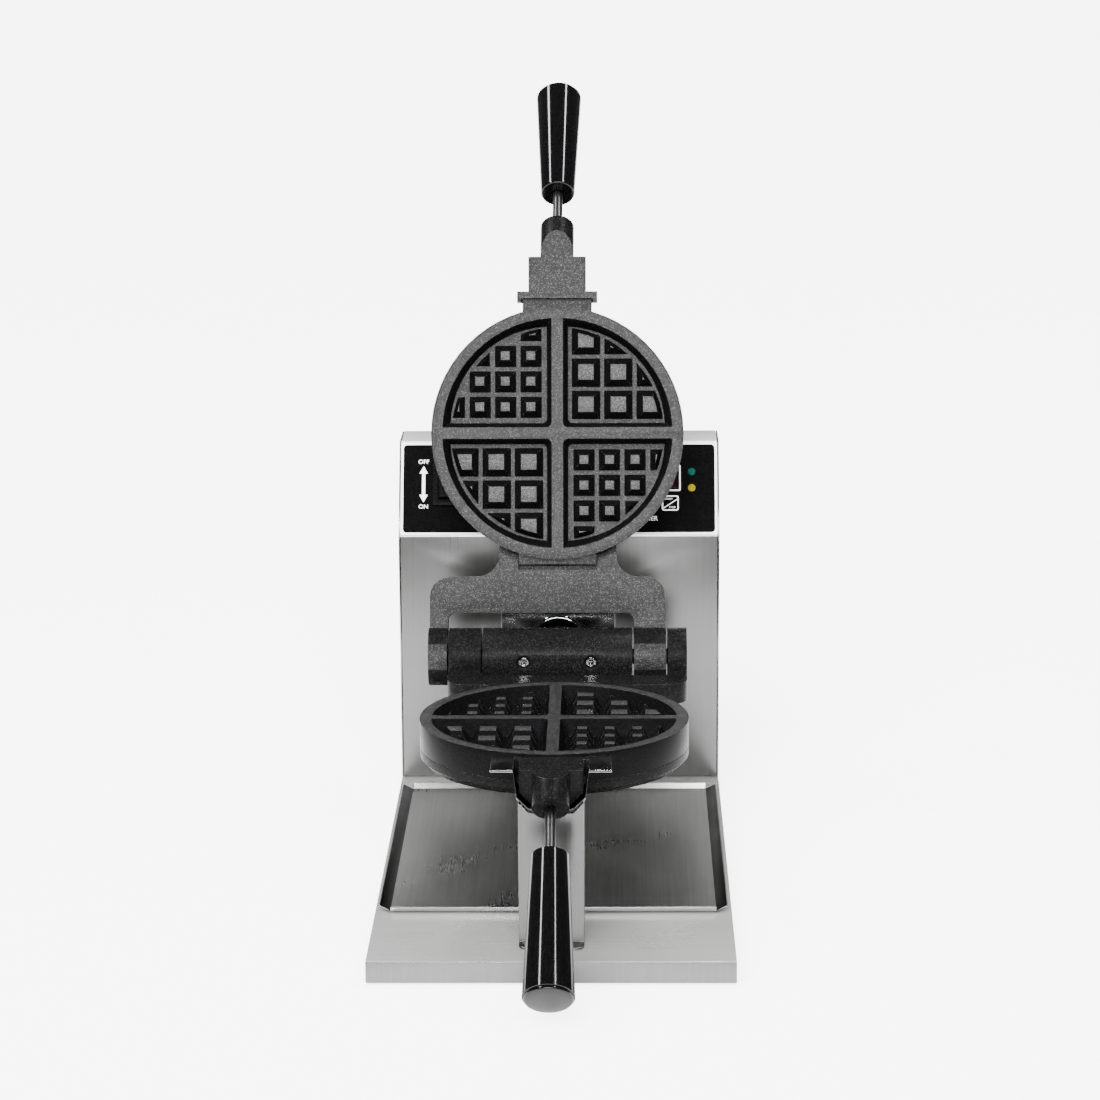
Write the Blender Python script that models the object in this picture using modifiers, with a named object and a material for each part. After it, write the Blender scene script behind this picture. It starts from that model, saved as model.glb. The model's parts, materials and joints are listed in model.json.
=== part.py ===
"""Rotary round waffle maker with removable grids, shown open.

Two alike halves hang on one hinge pin. The pin runs through a barrel on a turning shaft, and the
shaft runs back into a folded steel housing. The lower half rests in a cradle on a front post.

Units are metres, +Z is up, +X is the user's right and -Y is the user's side. Pieces of a half are
modelled in the half's own frame: the hinge axis is X, the handle points to -Y and +Z is the baking
side. The upper half is the lower one turned over and swung open.
"""

import math

import bmesh
import bpy
from mathutils import Matrix, Vector

# Fits
GAP = 0.0003                   # between touching pieces that do not move
RUN = 0.0005                   # between pieces that move past each other

# Stand
BASE_WIDTH = 0.252
BASE_FRONT = 0.351             # hinge axis to the front edge of the base
SKIRT_HEIGHT = 0.0155
SHEET = 0.0012                 # folded stainless sheet
FOLD_LAP = 0.6                 # of a sheet, left under the fold of the control panel
FOOT_SHOW = 0.002              # foot below the skirt
FOOT_RADIUS = 0.009
FOOT_INSET = 0.022
BOTTOM_LIFT = 0.003            # bottom plate above the edge of the skirt
HINGE_HEIGHT = 0.122           # hinge axis above the base top

# Housing
HOUSING_SETBACK = 0.088        # hinge axis to the upright front
FRONT_HEIGHT = 0.196
PANEL_LENGTH = 0.078           # up the sloping control panel
PANEL_TILT = math.radians(27)  # from upright
TOP_DEPTH = 0.043
VENT_COUNT = 7
VENT_PITCH = 0.009
VENT_LENGTH = 0.07
VENT_WIDTH = 0.004

# Bearing box and shaft
BOX_WIDTH = 0.088
BOX_HEIGHT = 0.049
BOX_SHEET = 0.0015
BOX_DEPTH = 0.048
RING_RADIUS = 0.023
RING_THICK = 0.003
BOSS_RADIUS = 0.00975
SHAFT_RADIUS = 0.006
SHAFT_END = 0.150              # hinge axis to the rear end of the shaft
BEARING_RADIUS = 0.018
BEARING_WIDTH = 0.012
PEDESTAL_WIDTH = 0.056
PEDESTAL_DEPTH = 0.016
COLLAR_RADIUS = 0.013
COLLAR_WIDTH = 0.009

# Hinge
BARREL_RADIUS = 0.022
BARREL_HALF = 0.057
INNER_KNUCKLE = 0.0245
OUTER_KNUCKLE = 0.0145
KNUCKLE_PLAY = 0.0012
PIN_RADIUS = 0.006
SET_SCREW_X = 0.0255
SET_SCREW_RADIUS = 0.004
SET_RECESS_RADIUS = 0.006
SET_RECESS_DEPTH = 0.003
HEX_SHARE = 0.6                # of the set screw's radius

# Frame casting of one half
ARM_TOP = 0.006                # mating plane to the casting's upper face
WEB_THICK = 0.0155
WINDOW_REACH = 0.0333
SHOULDER_REACH = 0.0605
SHOULDER_ROUND = 0.015
SHOULDER_FALL = 0.0012         # slope of the shoulders towards the neck
NECK_HALF = 0.045
NECK_FILLET = 0.016
WINDOW_ROUND = 0.006
ARM_OVERLAP = 0.3              # of the barrel's radius, arm into knuckle
NECK_OVERLAP = 0.8             # of the grid's radius, where neck and block run under the pan
PAN_DEPTH = 0.011
PAN_WALL = 0.004
PAN_FLOOR = 0.0035
PAN_CHAMFER = 0.005
LIP_HALF = 0.03075
LIP_THICK = 0.0052
LIP_EAR = 0.003
BLOCK_HALF = 0.022
BLOCK_LENGTH = 0.0266
BLOCK_DEPTH = 0.025
BLOCK_CHAMFER = 0.0085

# Grid
GRID_CENTRE = 0.171            # hinge axis to the middle of the round grid
GRID_RADIUS = 0.09675
GRID_HEIGHT = 0.0195
CAVITY_RADIUS = 0.0891
CAVITY_DEPTH = 0.0125
GRID_FLOOR = 0.004
RIB_WIDTH = 0.0075
POCKET_ROUND = 0.004           # corner between two ribs
POCKET_DRAFT = 0.87            # floor of a pocket to its mouth
POCKET_MIDDLE = 0.42           # of the cavity's radius, point the draft runs to
POCKET_LIFT = 0.002            # cutter above the rim
MATE_GAP = 0.0003              # grid rim to the mating plane
STUD_HEIGHT = 0.0102
STUD_SINK = 0.0006
STUD_TRIM = 0.0072             # rim of the cavity to the cut edge of the outer studs
STUD_TRIM_SLOPE = 0.4          # of the studs' height
FINE_PITCH = 0.0196
FINE_FIRST = 0.0203
FINE_BASE = 0.0156
FINE_TOP = 0.0078
COARSE_PITCH = 0.0248
COARSE_FIRST = 0.022
COARSE_BASE = 0.0212
COARSE_TOP = 0.0123
REAR_TAB_HALF = 0.0295
REAR_TAB_REACH = 0.0038        # beyond the round edge
FRONT_TAB_HALF = 0.0265
FRONT_TAB_REACH = 0.006
TAB_TOP = 0.003
TAB_THICK = 0.009
TAB_ROOT = 0.93                # of the grid's radius, where a tab starts
TAB_SLACK = 0.0045             # how far a grid slides back to come out

# Heater, inside the pan
HEATER_RING = 0.062
HEATER_TUBE = 0.003
THERMOSTAT_RADIUS = 0.009
THERMOSTAT_HEIGHT = 0.005

# Handle
HANDLE_TILT = math.radians(40)
CUP_RADIUS = 0.01275
CUP_LENGTH = 0.032
ROD_RADIUS = 0.00375
ROD_SHOW = 0.037
ROD_SOCKET = 0.016
GRIP_LENGTH = 0.109
GRIP_THIN = 0.013
GRIP_THICK = 0.0175
GRIP_BORE_DEPTH = 0.07
CAP_THICK = 0.003
GRIP_SOFT = 0.0012             # edge of grip and cap
LID_OPEN = math.radians(103.5)

# Post and cradle
POST_WIDTH = 0.045
POST_SHEET = 0.0018
POST_FLANGE = 0.013
POST_RETURN = 0.028
FLANGE_ROUND = 0.006
CRADLE_SHEET = 0.0018
CRADLE_SIDE = 0.0015           # clearance beside the block
CRADLE_UNDER = 0.0006          # clearance under the block
CRADLE_EAR = 0.0155
CRADLE_LIFT = 0.002            # ears above the mating plane
CRADLE_FLARE = 0.0024
CRADLE_AHEAD = 0.0072          # cradle's front edge ahead of the block

# Drip tray
TRAY_SIDE_GAP = 0.003
TRAY_FLANGE = 0.008
TRAY_LIP = 0.004
TRAY_SHEET = 0.001
TRAY_FRONT_GAP = 0.027         # behind the cradle's rear edge
TRAY_REAR_GAP = 0.036          # ahead of the housing
TRAY_EDGE_FROM = 0.9           # of the floor's half width, past which an edge is a side one

# Control panel
LABEL_MARGIN = 0.0015
LABEL_THICK = 0.0005
BEZEL_X = -0.0855
BEZEL_S = 0.042                # up the slope from its lower edge
BEZEL_SIZE = (0.027, 0.034)
BEZEL_RISE = 0.003
BEZEL_WALL = 0.0045
BEZEL_BODY = 0.018
ROCKER_GAP = 0.001
ROCKER_RISE = 0.0022
ROCKER_TILT = math.radians(7)
ROCKER_ROUND = 0.001
KEY_SIZE = (0.0135, 0.0126)
KEY_PLACES = {
    "down_key": (0.0535, 0.0267),
    "up_key": (0.0705, 0.0267),
    "start_stop_key": (0.0875, 0.0267),
}
KEY_RISE = 0.0008
KEY_BODY = 0.004
DISPLAY_X = 0.0705
DISPLAY_S = 0.0475
DISPLAY_SIZE = (0.046, 0.017)
DISPLAY_RISE = 0.0007
DISPLAY_BODY = 0.005
LED_X = 0.1044
LED_PLACES = {"green_lamp": 0.0524, "yellow_lamp": 0.0393}
LED_RADIUS = 0.00325
LED_RISE = 0.0014
LED_BODY = 0.006
BOARD_DEPTH = 0.011            # circuit board behind the panel
BOARD_SIZE = (0.07, 0.06)
BOARD_THICK = 0.0016

# Inside the housing
TRANSFORMER_SIZE = (0.046, 0.036, 0.04)
TRANSFORMER_PLACE = (0.084, 0.128)
TERMINAL_SIZE = (0.05, 0.02, 0.018)
TERMINAL_PLACE = (-0.084, 0.14)
RELAY_SIZE = (0.03, 0.03, 0.034)
RELAY_PLACE = (-0.084, 0.108)
SOLID_EDGE = 0.0015
INLET_X = 0.075
INLET_Z = 0.045
INLET_SIZE = (0.03, 0.022)
INLET_FLANGE = 0.004
INLET_BODY = 0.014
SOCKET_WALL = 0.7              # of the inlet's flange
SOCKET_DEPTH = 0.8             # of the inlet's body

# Steps round turned shapes
PLATE_STEPS = 64
POCKET_STEPS = 14
RING_STEPS = 48
BARREL_STEPS = 40
ROD_STEPS = 32
HEATER_STEPS = 30
SMALL_STEPS = 24
LAMP_STEPS = 20
TUBE_STEPS = 8
HEX_SIDES = 6

# Heights and places that follow
BASE_TOP = FOOT_SHOW + SKIRT_HEIGHT
HINGE_Z = BASE_TOP + HINGE_HEIGHT
PANEL_FOOT_Z = BASE_TOP + FRONT_HEIGHT
PANEL_HEAD_Y = HOUSING_SETBACK + PANEL_LENGTH * math.sin(PANEL_TILT)
PANEL_HEAD_Z = PANEL_FOOT_Z + PANEL_LENGTH * math.cos(PANEL_TILT)
HOUSING_REAR = PANEL_HEAD_Y + TOP_DEPTH
BOX_FRONT = HOUSING_SETBACK - BOX_DEPTH
INNER_FROM = BARREL_HALF + KNUCKLE_PLAY
INNER_TO = INNER_FROM + INNER_KNUCKLE
OUTER_FROM = INNER_TO + KNUCKLE_PLAY
OUTER_TO = OUTER_FROM + OUTER_KNUCKLE
PAN_TOP = -(MATE_GAP + GRID_HEIGHT + GAP)
PAN_BOTTOM = PAN_TOP - PAN_DEPTH
GRID_TOP = -MATE_GAP
TAB_END = GRID_CENTRE + GRID_RADIUS + FRONT_TAB_REACH
REAR_TAB_END = GRID_CENTRE - GRID_RADIUS - REAR_TAB_REACH
LIP_START = TAB_END + 2 * GAP
LIP_END = LIP_START + LIP_THICK
BLOCK_END = LIP_END + BLOCK_LENGTH
CRADLE_FROM = LIP_END + RUN
CRADLE_TO = BLOCK_END + CRADLE_AHEAD
POST_FRONT = CRADLE_TO + GAP + POST_SHEET
TRAY_FRONT = CRADLE_FROM - TRAY_FRONT_GAP
TRAY_REAR = HOUSING_SETBACK - TRAY_REAR_GAP

STEEL = "brushed_stainless"
CAST = "black_casting"
COAT = "nonstick_coating"
BLACK = "black_plastic"

COLOURS = {
    STEEL: (0.62, 0.62, 0.61, 0.28, 1.0),
    "bright_steel": (0.8, 0.8, 0.8, 0.12, 1.0),
    CAST: (0.03, 0.03, 0.031, 0.45, 0.2),
    COAT: (0.05, 0.05, 0.052, 0.42, 0.3),
    BLACK: (0.012, 0.012, 0.013, 0.22, 0.0),
    "dark_rod": (0.06, 0.06, 0.06, 0.35, 0.8),
    "panel_label": (0.01, 0.01, 0.011, 0.3, 0.0),
    "display_glass": (0.02, 0.004, 0.004, 0.1, 0.0),
    "green_lens": (0.01, 0.25, 0.12, 0.2, 0.0),
    "yellow_lens": (0.8, 0.65, 0.05, 0.2, 0.0),
    "rubber": (0.02, 0.02, 0.02, 0.8, 0.0),
    "board_green": (0.02, 0.14, 0.05, 0.5, 0.0),
    "heater_steel": (0.3, 0.29, 0.28, 0.45, 1.0),
    "transformer_iron": (0.16, 0.15, 0.15, 0.5, 0.7),
    "bronze": (0.55, 0.38, 0.18, 0.35, 1.0),
    "nylon": (0.75, 0.74, 0.7, 0.5, 0.0),
}


def clear_scene():
    """Remove what the file holds, so that each run starts empty."""
    for obj in list(bpy.data.objects):
        bpy.data.objects.remove(obj, do_unlink=True)


def new_collection(name):
    coll = bpy.data.collections.new(name)
    bpy.context.scene.collection.children.link(coll)
    return coll


def material(name):
    """The Principled material of that name, made the first time it is asked for."""
    found = bpy.data.materials.get(name)
    if found:
        return found
    red, green, blue, rough, metal = COLOURS[name]
    mat = bpy.data.materials.new(name)
    mat.use_nodes = True
    shader = mat.node_tree.nodes["Principled BSDF"]
    shader.inputs["Base Color"].default_value = (red, green, blue, 1.0)
    shader.inputs["Roughness"].default_value = rough
    shader.inputs["Metallic"].default_value = metal
    mat.diffuse_color = (red, green, blue, 1.0)
    return mat


def shade(mesh):
    mesh.shade_smooth()
    mesh.set_sharp_from_angle(angle=math.radians(35))


def add_object(name, mesh, finish, parent):
    """A finished piece of the model, in its parent's frame."""
    obj = bpy.data.objects.new(name, mesh)
    obj.data.materials.append(material(finish))
    obj.parent = parent
    PARTS.objects.link(obj)
    shade(mesh)
    return obj


def add_cutter(name, mesh, parent):
    """A guide solid for a Boolean, which is not part of the model."""
    obj = bpy.data.objects.new(name, mesh)
    obj.parent = parent
    obj.hide_render = True
    obj.display_type = 'WIRE'
    CUTTERS.objects.link(obj)
    return obj


def add_empty(name, parent, location=(0, 0, 0), rotation=(0, 0, 0)):
    obj = bpy.data.objects.new(name, None)
    obj.parent = parent
    obj.location = location
    obj.rotation_euler = rotation
    PARTS.objects.link(obj)
    return obj


def mesh_from(bm, name):
    mesh = bpy.data.meshes.new(name)
    bm.to_mesh(mesh)
    bm.free()
    return mesh


def block_mesh(name, low, high):
    """A box between two corners."""
    low = Vector(low)
    high = Vector(high)
    bm = bmesh.new()
    place = Matrix.Translation((low + high) / 2) @ Matrix.Diagonal((*(high - low), 1))
    bmesh.ops.create_cube(bm, size=1, matrix=place)
    return mesh_from(bm, name)


def rod_mesh(name, start, end, radius, end_radius=None, segments=ROD_STEPS):
    """A cylinder or cone between two points."""
    start = Vector(start)
    end = Vector(end)
    run = end - start
    turn = run.to_track_quat('Z', 'Y').to_matrix().to_4x4()
    bm = bmesh.new()
    bmesh.ops.create_cone(
        bm,
        cap_ends=True,
        segments=segments,
        radius1=radius,
        radius2=radius if end_radius is None else end_radius,
        depth=run.length,
        matrix=Matrix.Translation((start + end) / 2) @ turn,
    )
    return mesh_from(bm, name)


def rounded(corners, steps=5):
    """Outline points of a polygon of (x, y, radius) corners, each corner an arc."""
    points = []
    count = len(corners)
    for index, (x, y, radius) in enumerate(corners):
        here = Vector((x, y))
        if radius <= 0:
            points.append(here)
            continue
        before = (Vector(corners[index - 1][:2]) - here).normalized()
        after = (Vector(corners[(index + 1) % count][:2]) - here).normalized()
        half = before.angle(after) / 2
        centre = here + (before + after).normalized() * (radius / math.sin(half))
        first = here + before * (radius / math.tan(half)) - centre
        sweep = first.angle_signed(here + after * (radius / math.tan(half)) - centre)
        for step in range(steps + 1):
            angle = -sweep * step / steps
            points.append(centre + Matrix.Rotation(angle, 2) @ first)
    return points


def outline_mesh(name, points, thickness, place):
    """A flat outline of x, y points, given a thickness about its plane."""
    curve = bpy.data.curves.new(name, 'CURVE')
    curve.dimensions = '2D'
    curve.fill_mode = 'BOTH'
    curve.extrude = thickness / 2
    spline = curve.splines.new('POLY')
    spline.points.add(len(points) - 1)
    for point, xy in zip(spline.points, points):
        point.co = (xy[0], xy[1], 0, 1)
    spline.use_cyclic_u = True
    guide = bpy.data.objects.new(name, curve)
    bpy.context.scene.collection.objects.link(guide)
    bpy.context.view_layer.update()
    graph = bpy.context.evaluated_depsgraph_get()
    mesh = bpy.data.meshes.new_from_object(guide.evaluated_get(graph))
    bpy.data.objects.remove(guide, do_unlink=True)
    bpy.data.curves.remove(curve)
    bm = bmesh.new()
    bm.from_mesh(mesh)
    bmesh.ops.remove_doubles(bm, verts=bm.verts, dist=0.000005)
    bmesh.ops.dissolve_limit(bm, angle_limit=math.radians(0.5), verts=bm.verts, edges=bm.edges)
    bmesh.ops.recalc_face_normals(bm, faces=bm.faces)
    bm.transform(place)
    if place.determinant() < 0:
        bmesh.ops.reverse_faces(bm, faces=bm.faces)
    bm.to_mesh(mesh)
    bm.free()
    mesh.name = name
    return mesh


def flat_place(z):
    """Outline x, y to x, y at a height."""
    return Matrix.Translation((0, 0, z))


def front_place(y):
    """Outline x, y to x, z at a depth."""
    return Matrix.Translation((0, y, 0)) @ Matrix.Rotation(math.radians(90), 4, 'X')


def side_place(x):
    """Outline x, y to y, z at a distance across."""
    turn = Matrix(((0, 0, 1, 0), (1, 0, 0, 0), (0, 1, 0, 0), (0, 0, 0, 1)))
    return Matrix.Translation((x, 0, 0)) @ turn


def turned_mesh(name, profile, segments, place, closed=False):
    """A profile of (radius, height) points, outer side top to bottom, turned about Z."""
    mesh = bpy.data.meshes.new(name)
    count = len(profile)
    edges = [(index, index + 1) for index in range(count - 1)]
    if closed:
        edges.append((count - 1, 0))
    mesh.from_pydata([(radius, 0, height) for radius, height in profile], edges, [])
    guide = bpy.data.objects.new(name, mesh)
    bpy.context.scene.collection.objects.link(guide)
    screw = guide.modifiers.new("turn", 'SCREW')
    screw.axis = 'Z'
    screw.steps = segments
    screw.render_steps = segments
    screw.use_merge_vertices = True
    screw.merge_threshold = 0.00001
    bpy.context.view_layer.update()
    graph = bpy.context.evaluated_depsgraph_get()
    turned = bpy.data.meshes.new_from_object(guide.evaluated_get(graph))
    bpy.data.objects.remove(guide, do_unlink=True)
    turned.transform(place)
    turned.name = name
    return turned


def boolean(obj, tool, operation='DIFFERENCE'):
    cut = obj.modifiers.new(tool.name, 'BOOLEAN')
    cut.operation = operation
    cut.solver = 'EXACT'
    cut.object = tool


def bevel(obj, width, segments=2, angle=50):
    soft = obj.modifiers.new("edge", 'BEVEL')
    soft.width = width
    soft.segments = segments
    soft.limit_method = 'ANGLE'
    soft.angle_limit = math.radians(angle)


# ---------------------------------------------------------------- stand

def make_base(root):
    """Inverted folded pan, its bottom plate and four feet."""
    half = BASE_WIDTH / 2
    pan = add_object(
        "base_pan",
        block_mesh("base_pan", (-half, -BASE_FRONT, FOOT_SHOW), (half, HOUSING_REAR, BASE_TOP)),
        STEEL, root)
    hollow = add_cutter(
        "base_hollow",
        block_mesh(
            "base_hollow",
            (-half + SHEET, -BASE_FRONT + SHEET, FOOT_SHOW - SKIRT_HEIGHT),
            (half - SHEET, HOUSING_REAR - SHEET, BASE_TOP - SHEET)),
        root)
    boolean(pan, hollow)
    inset = SHEET + GAP
    plate_low = FOOT_SHOW + BOTTOM_LIFT
    add_object(
        "bottom_plate",
        block_mesh(
            "bottom_plate",
            (-half + inset, -BASE_FRONT + inset, plate_low),
            (half - inset, HOUSING_REAR - inset, plate_low + SHEET)),
        STEEL, root)
    places = {
        "foot_front_left": (-half + FOOT_INSET, -BASE_FRONT + FOOT_INSET),
        "foot_front_right": (half - FOOT_INSET, -BASE_FRONT + FOOT_INSET),
        "foot_rear_left": (-half + FOOT_INSET, HOUSING_REAR - FOOT_INSET),
        "foot_rear_right": (half - FOOT_INSET, HOUSING_REAR - FOOT_INSET),
    }
    for name, (x, y) in places.items():
        foot = rod_mesh(name, (x, y, 0), (x, y, plate_low - GAP), FOOT_RADIUS, segments=SMALL_STEPS)
        add_object(name, foot, "rubber", root)


def cradle_line():
    """Inner line of the cradle seen from the front, left to right, about the hinge height."""
    mouth = BLOCK_HALF + CRADLE_SIDE + CRADLE_FLARE
    wall = BLOCK_HALF + CRADLE_SIDE
    foot = wall - BLOCK_CHAMFER
    floor = -(BLOCK_DEPTH + CRADLE_UNDER)
    turn = floor + BLOCK_CHAMFER
    right = [(foot, floor), (wall, turn), (mouth, CRADLE_LIFT), (mouth + CRADLE_EAR, CRADLE_LIFT)]
    left = [(-x, z) for x, z in reversed(right)]
    return left + right


def make_post(root):
    """Front post, a channel open to the rear, and the bent cradle in its notched top."""
    line = cradle_line()
    under = [(x, z - CRADLE_SHEET) for x, z in line]
    outline = [(x, z + HINGE_Z) for x, z in line + under[::-1]]
    middle = -(CRADLE_FROM + CRADLE_TO) / 2
    cradle = outline_mesh("cradle", outline, CRADLE_TO - CRADLE_FROM, front_place(middle))
    add_object("cradle", cradle, STEEL, root)

    half = POST_WIDTH / 2
    low = BASE_TOP + GAP
    high = HINGE_Z - BLOCK_CHAMFER
    post = add_object(
        "support_post",
        block_mesh("support_post", (-half, -POST_FRONT, low), (half, -POST_FRONT + POST_RETURN, high)),
        STEEL, root)
    hollow = add_cutter(
        "post_hollow",
        block_mesh(
            "post_hollow",
            (-half + POST_SHEET, -POST_FRONT + POST_SHEET, low - POST_WIDTH),
            (half - POST_SHEET, -POST_FRONT + POST_RETURN + POST_WIDTH, high + POST_WIDTH)),
        root)
    boolean(post, hollow)
    flange_corners = [
        (-half, -POST_FRONT - POST_FLANGE, FLANGE_ROUND),
        (half, -POST_FRONT - POST_FLANGE, FLANGE_ROUND),
        (half, -POST_FRONT + POST_SHEET, 0),
        (-half, -POST_FRONT + POST_SHEET, 0),
    ]
    flange = add_cutter(
        "post_flange",
        outline_mesh(
            "post_flange", rounded(flange_corners), POST_SHEET, flat_place(low + POST_SHEET / 2)),
        root)
    boolean(post, flange, 'UNION')
    room = [(x, z - CRADLE_SHEET - GAP * 2) for x, z in line]
    top = [(room[-1][0], BLOCK_DEPTH), (room[0][0], BLOCK_DEPTH)]
    notch_outline = [(x, z + HINGE_Z) for x, z in room + top]
    notch = add_cutter(
        "post_notch",
        outline_mesh(
            "post_notch", notch_outline, POST_RETURN * 3, front_place(-POST_FRONT)),
        root)
    boolean(post, notch)


def make_tray(root):
    """Drip tray: flat floor, sloping side flanges and low front and rear lips."""
    half = BASE_WIDTH / 2 - TRAY_SIDE_GAP
    floor_half = half - TRAY_FLANGE
    bm = bmesh.new()
    middle = (TRAY_REAR - TRAY_FRONT) / 2
    floor_z = BASE_TOP + GAP + TRAY_SHEET
    place = Matrix.Translation((0, middle, floor_z))
    size = Matrix.Diagonal((floor_half * 2, TRAY_FRONT + TRAY_REAR - 2 * TRAY_LIP, 1, 1))
    bmesh.ops.create_grid(bm, x_segments=1, y_segments=1, size=0.5, matrix=place @ size)
    rises = {(1, 0): TRAY_FLANGE, (-1, 0): TRAY_FLANGE, (0, 1): TRAY_LIP, (0, -1): TRAY_LIP}
    for (side_x, side_y), reach in rises.items():
        edges = [
            edge for edge in bm.edges
            if edge.is_boundary and is_side(edge, side_x, side_y, floor_half, middle)]
        grown = bmesh.ops.extrude_edge_only(bm, edges=edges)
        verts = [item for item in grown["geom"] if isinstance(item, bmesh.types.BMVert)]
        bmesh.ops.translate(bm, verts=verts, vec=(side_x * reach, side_y * reach, TRAY_LIP))
    bmesh.ops.recalc_face_normals(bm, faces=bm.faces)
    bmesh.ops.solidify(bm, geom=bm.faces[:], thickness=TRAY_SHEET)
    bmesh.ops.recalc_face_normals(bm, faces=bm.faces)
    add_object("drip_tray", mesh_from(bm, "drip_tray"), STEEL, root)


def is_side(edge, side_x, side_y, floor_half, middle):
    """Whether an edge of the tray's floor is the one on that side."""
    centre = (edge.verts[0].co + edge.verts[1].co) / 2
    across = abs(centre.x) > floor_half * TRAY_EDGE_FROM
    if side_x:
        return across and centre.x * side_x > 0 and abs(centre.y - middle) < TRAY_LIP
    return not across and (centre.y - middle) * side_y > 0 and abs(centre.x) < TRAY_LIP


# ---------------------------------------------------------------- housing

def make_housing(root):
    """Folded housing: upright front, sloping control panel with the top, two sides and a rear cover."""
    half = BASE_WIDTH / 2
    low = BASE_TOP + GAP
    inner = half - SHEET - GAP
    tilt = PANEL_TILT
    front = add_object(
        "front_panel",
        block_mesh(
            "front_panel",
            (-inner, HOUSING_SETBACK, low),
            (inner, HOUSING_SETBACK + SHEET, PANEL_FOOT_Z - GAP)),
        STEEL, root)
    shaft_hole = add_cutter(
        "front_shaft_hole",
        rod_mesh(
            "front_shaft_hole",
            (0, HOUSING_SETBACK - SHEET, HINGE_Z),
            (0, HOUSING_SETBACK + 2 * SHEET, HINGE_Z),
            BEARING_RADIUS),
        root)
    boolean(front, shaft_hole)

    normal_y = math.cos(tilt) * SHEET
    normal_z = math.sin(tilt) * SHEET
    turn = SHEET * math.tan((math.pi / 2 - tilt) / 2)
    line = [
        (HOUSING_SETBACK, PANEL_FOOT_Z),
        (PANEL_HEAD_Y, PANEL_HEAD_Z),
        (HOUSING_REAR - SHEET - GAP, PANEL_HEAD_Z),
        (HOUSING_REAR - SHEET - GAP, PANEL_HEAD_Z - SHEET),
        (PANEL_HEAD_Y + turn, PANEL_HEAD_Z - SHEET),
        (HOUSING_SETBACK + normal_y, PANEL_FOOT_Z - normal_z + SHEET * FOLD_LAP),
    ]
    panel = add_object(
        "control_panel", outline_mesh("control_panel", line, inner * 2, side_place(0)), STEEL, root)

    side_outline = [
        (HOUSING_SETBACK, low),
        (HOUSING_REAR, low),
        (HOUSING_REAR, PANEL_HEAD_Z),
        (PANEL_HEAD_Y, PANEL_HEAD_Z),
        (HOUSING_SETBACK, PANEL_FOOT_Z),
    ]
    for name, sign in (("left_side", -1), ("right_side", 1)):
        place = side_place(sign * (half - SHEET / 2))
        add_object(name, outline_mesh(name, side_outline, SHEET, place), STEEL, root)

    rear = add_object(
        "rear_cover",
        block_mesh(
            "rear_cover", (-inner, HOUSING_REAR - SHEET, low), (inner, HOUSING_REAR, PANEL_HEAD_Z)),
        STEEL, root)
    for index in range(VENT_COUNT):
        z = HINGE_Z + index * VENT_PITCH
        slot = add_cutter(
            f"vent_{index + 1}",
            block_mesh(
                f"vent_{index + 1}",
                (-VENT_LENGTH / 2, HOUSING_REAR - 3 * SHEET, z),
                (VENT_LENGTH / 2, HOUSING_REAR + SHEET, z + VENT_WIDTH)),
            root)
        boolean(rear, slot)
    inlet_hole = add_cutter(
        "inlet_hole",
        inlet_block("inlet_hole", GAP, HOUSING_REAR - 3 * SHEET, HOUSING_REAR + SHEET),
        root)
    boolean(rear, inlet_hole)
    return panel


def inlet_block(name, grow, low_y, high_y):
    half_x = INLET_SIZE[0] / 2 + grow
    half_z = INLET_SIZE[1] / 2 + grow
    middle_z = BASE_TOP + INLET_Z
    return block_mesh(
        name, (INLET_X - half_x, low_y, middle_z - half_z), (INLET_X + half_x, high_y, middle_z + half_z))


def make_inlet(root):
    """Mains inlet socket in the rear cover, open to the rear."""
    flange_end = HOUSING_REAR + GAP + INLET_FLANGE / 2
    inlet = add_object(
        "mains_inlet", inlet_block("mains_inlet", 0, HOUSING_REAR - INLET_BODY, flange_end), BLACK, root)
    flange = add_cutter(
        "inlet_flange",
        inlet_block("inlet_flange", INLET_FLANGE, HOUSING_REAR + GAP, flange_end),
        root)
    boolean(inlet, flange, 'UNION')
    socket = add_cutter(
        "inlet_socket",
        inlet_block(
            "inlet_socket", -INLET_FLANGE * SOCKET_WALL, HOUSING_REAR - INLET_BODY * SOCKET_DEPTH,
            flange_end + SHEET),
        root)
    boolean(inlet, socket)


def make_electrics(root):
    """Transformer, relay and terminal block on the base top."""
    solids = {
        "transformer": (TRANSFORMER_PLACE, TRANSFORMER_SIZE, "transformer_iron"),
        "terminal_block": (TERMINAL_PLACE, TERMINAL_SIZE, "nylon"),
        "relay": (RELAY_PLACE, RELAY_SIZE, BLACK),
    }
    for name, ((x, y), (width, depth, height), finish) in solids.items():
        low = BASE_TOP + GAP
        solid = block_mesh(
            name, (x - width / 2, y - depth / 2, low), (x + width / 2, y + depth / 2, low + height))
        bevel(add_object(name, solid, finish, root), SOLID_EDGE)


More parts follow.
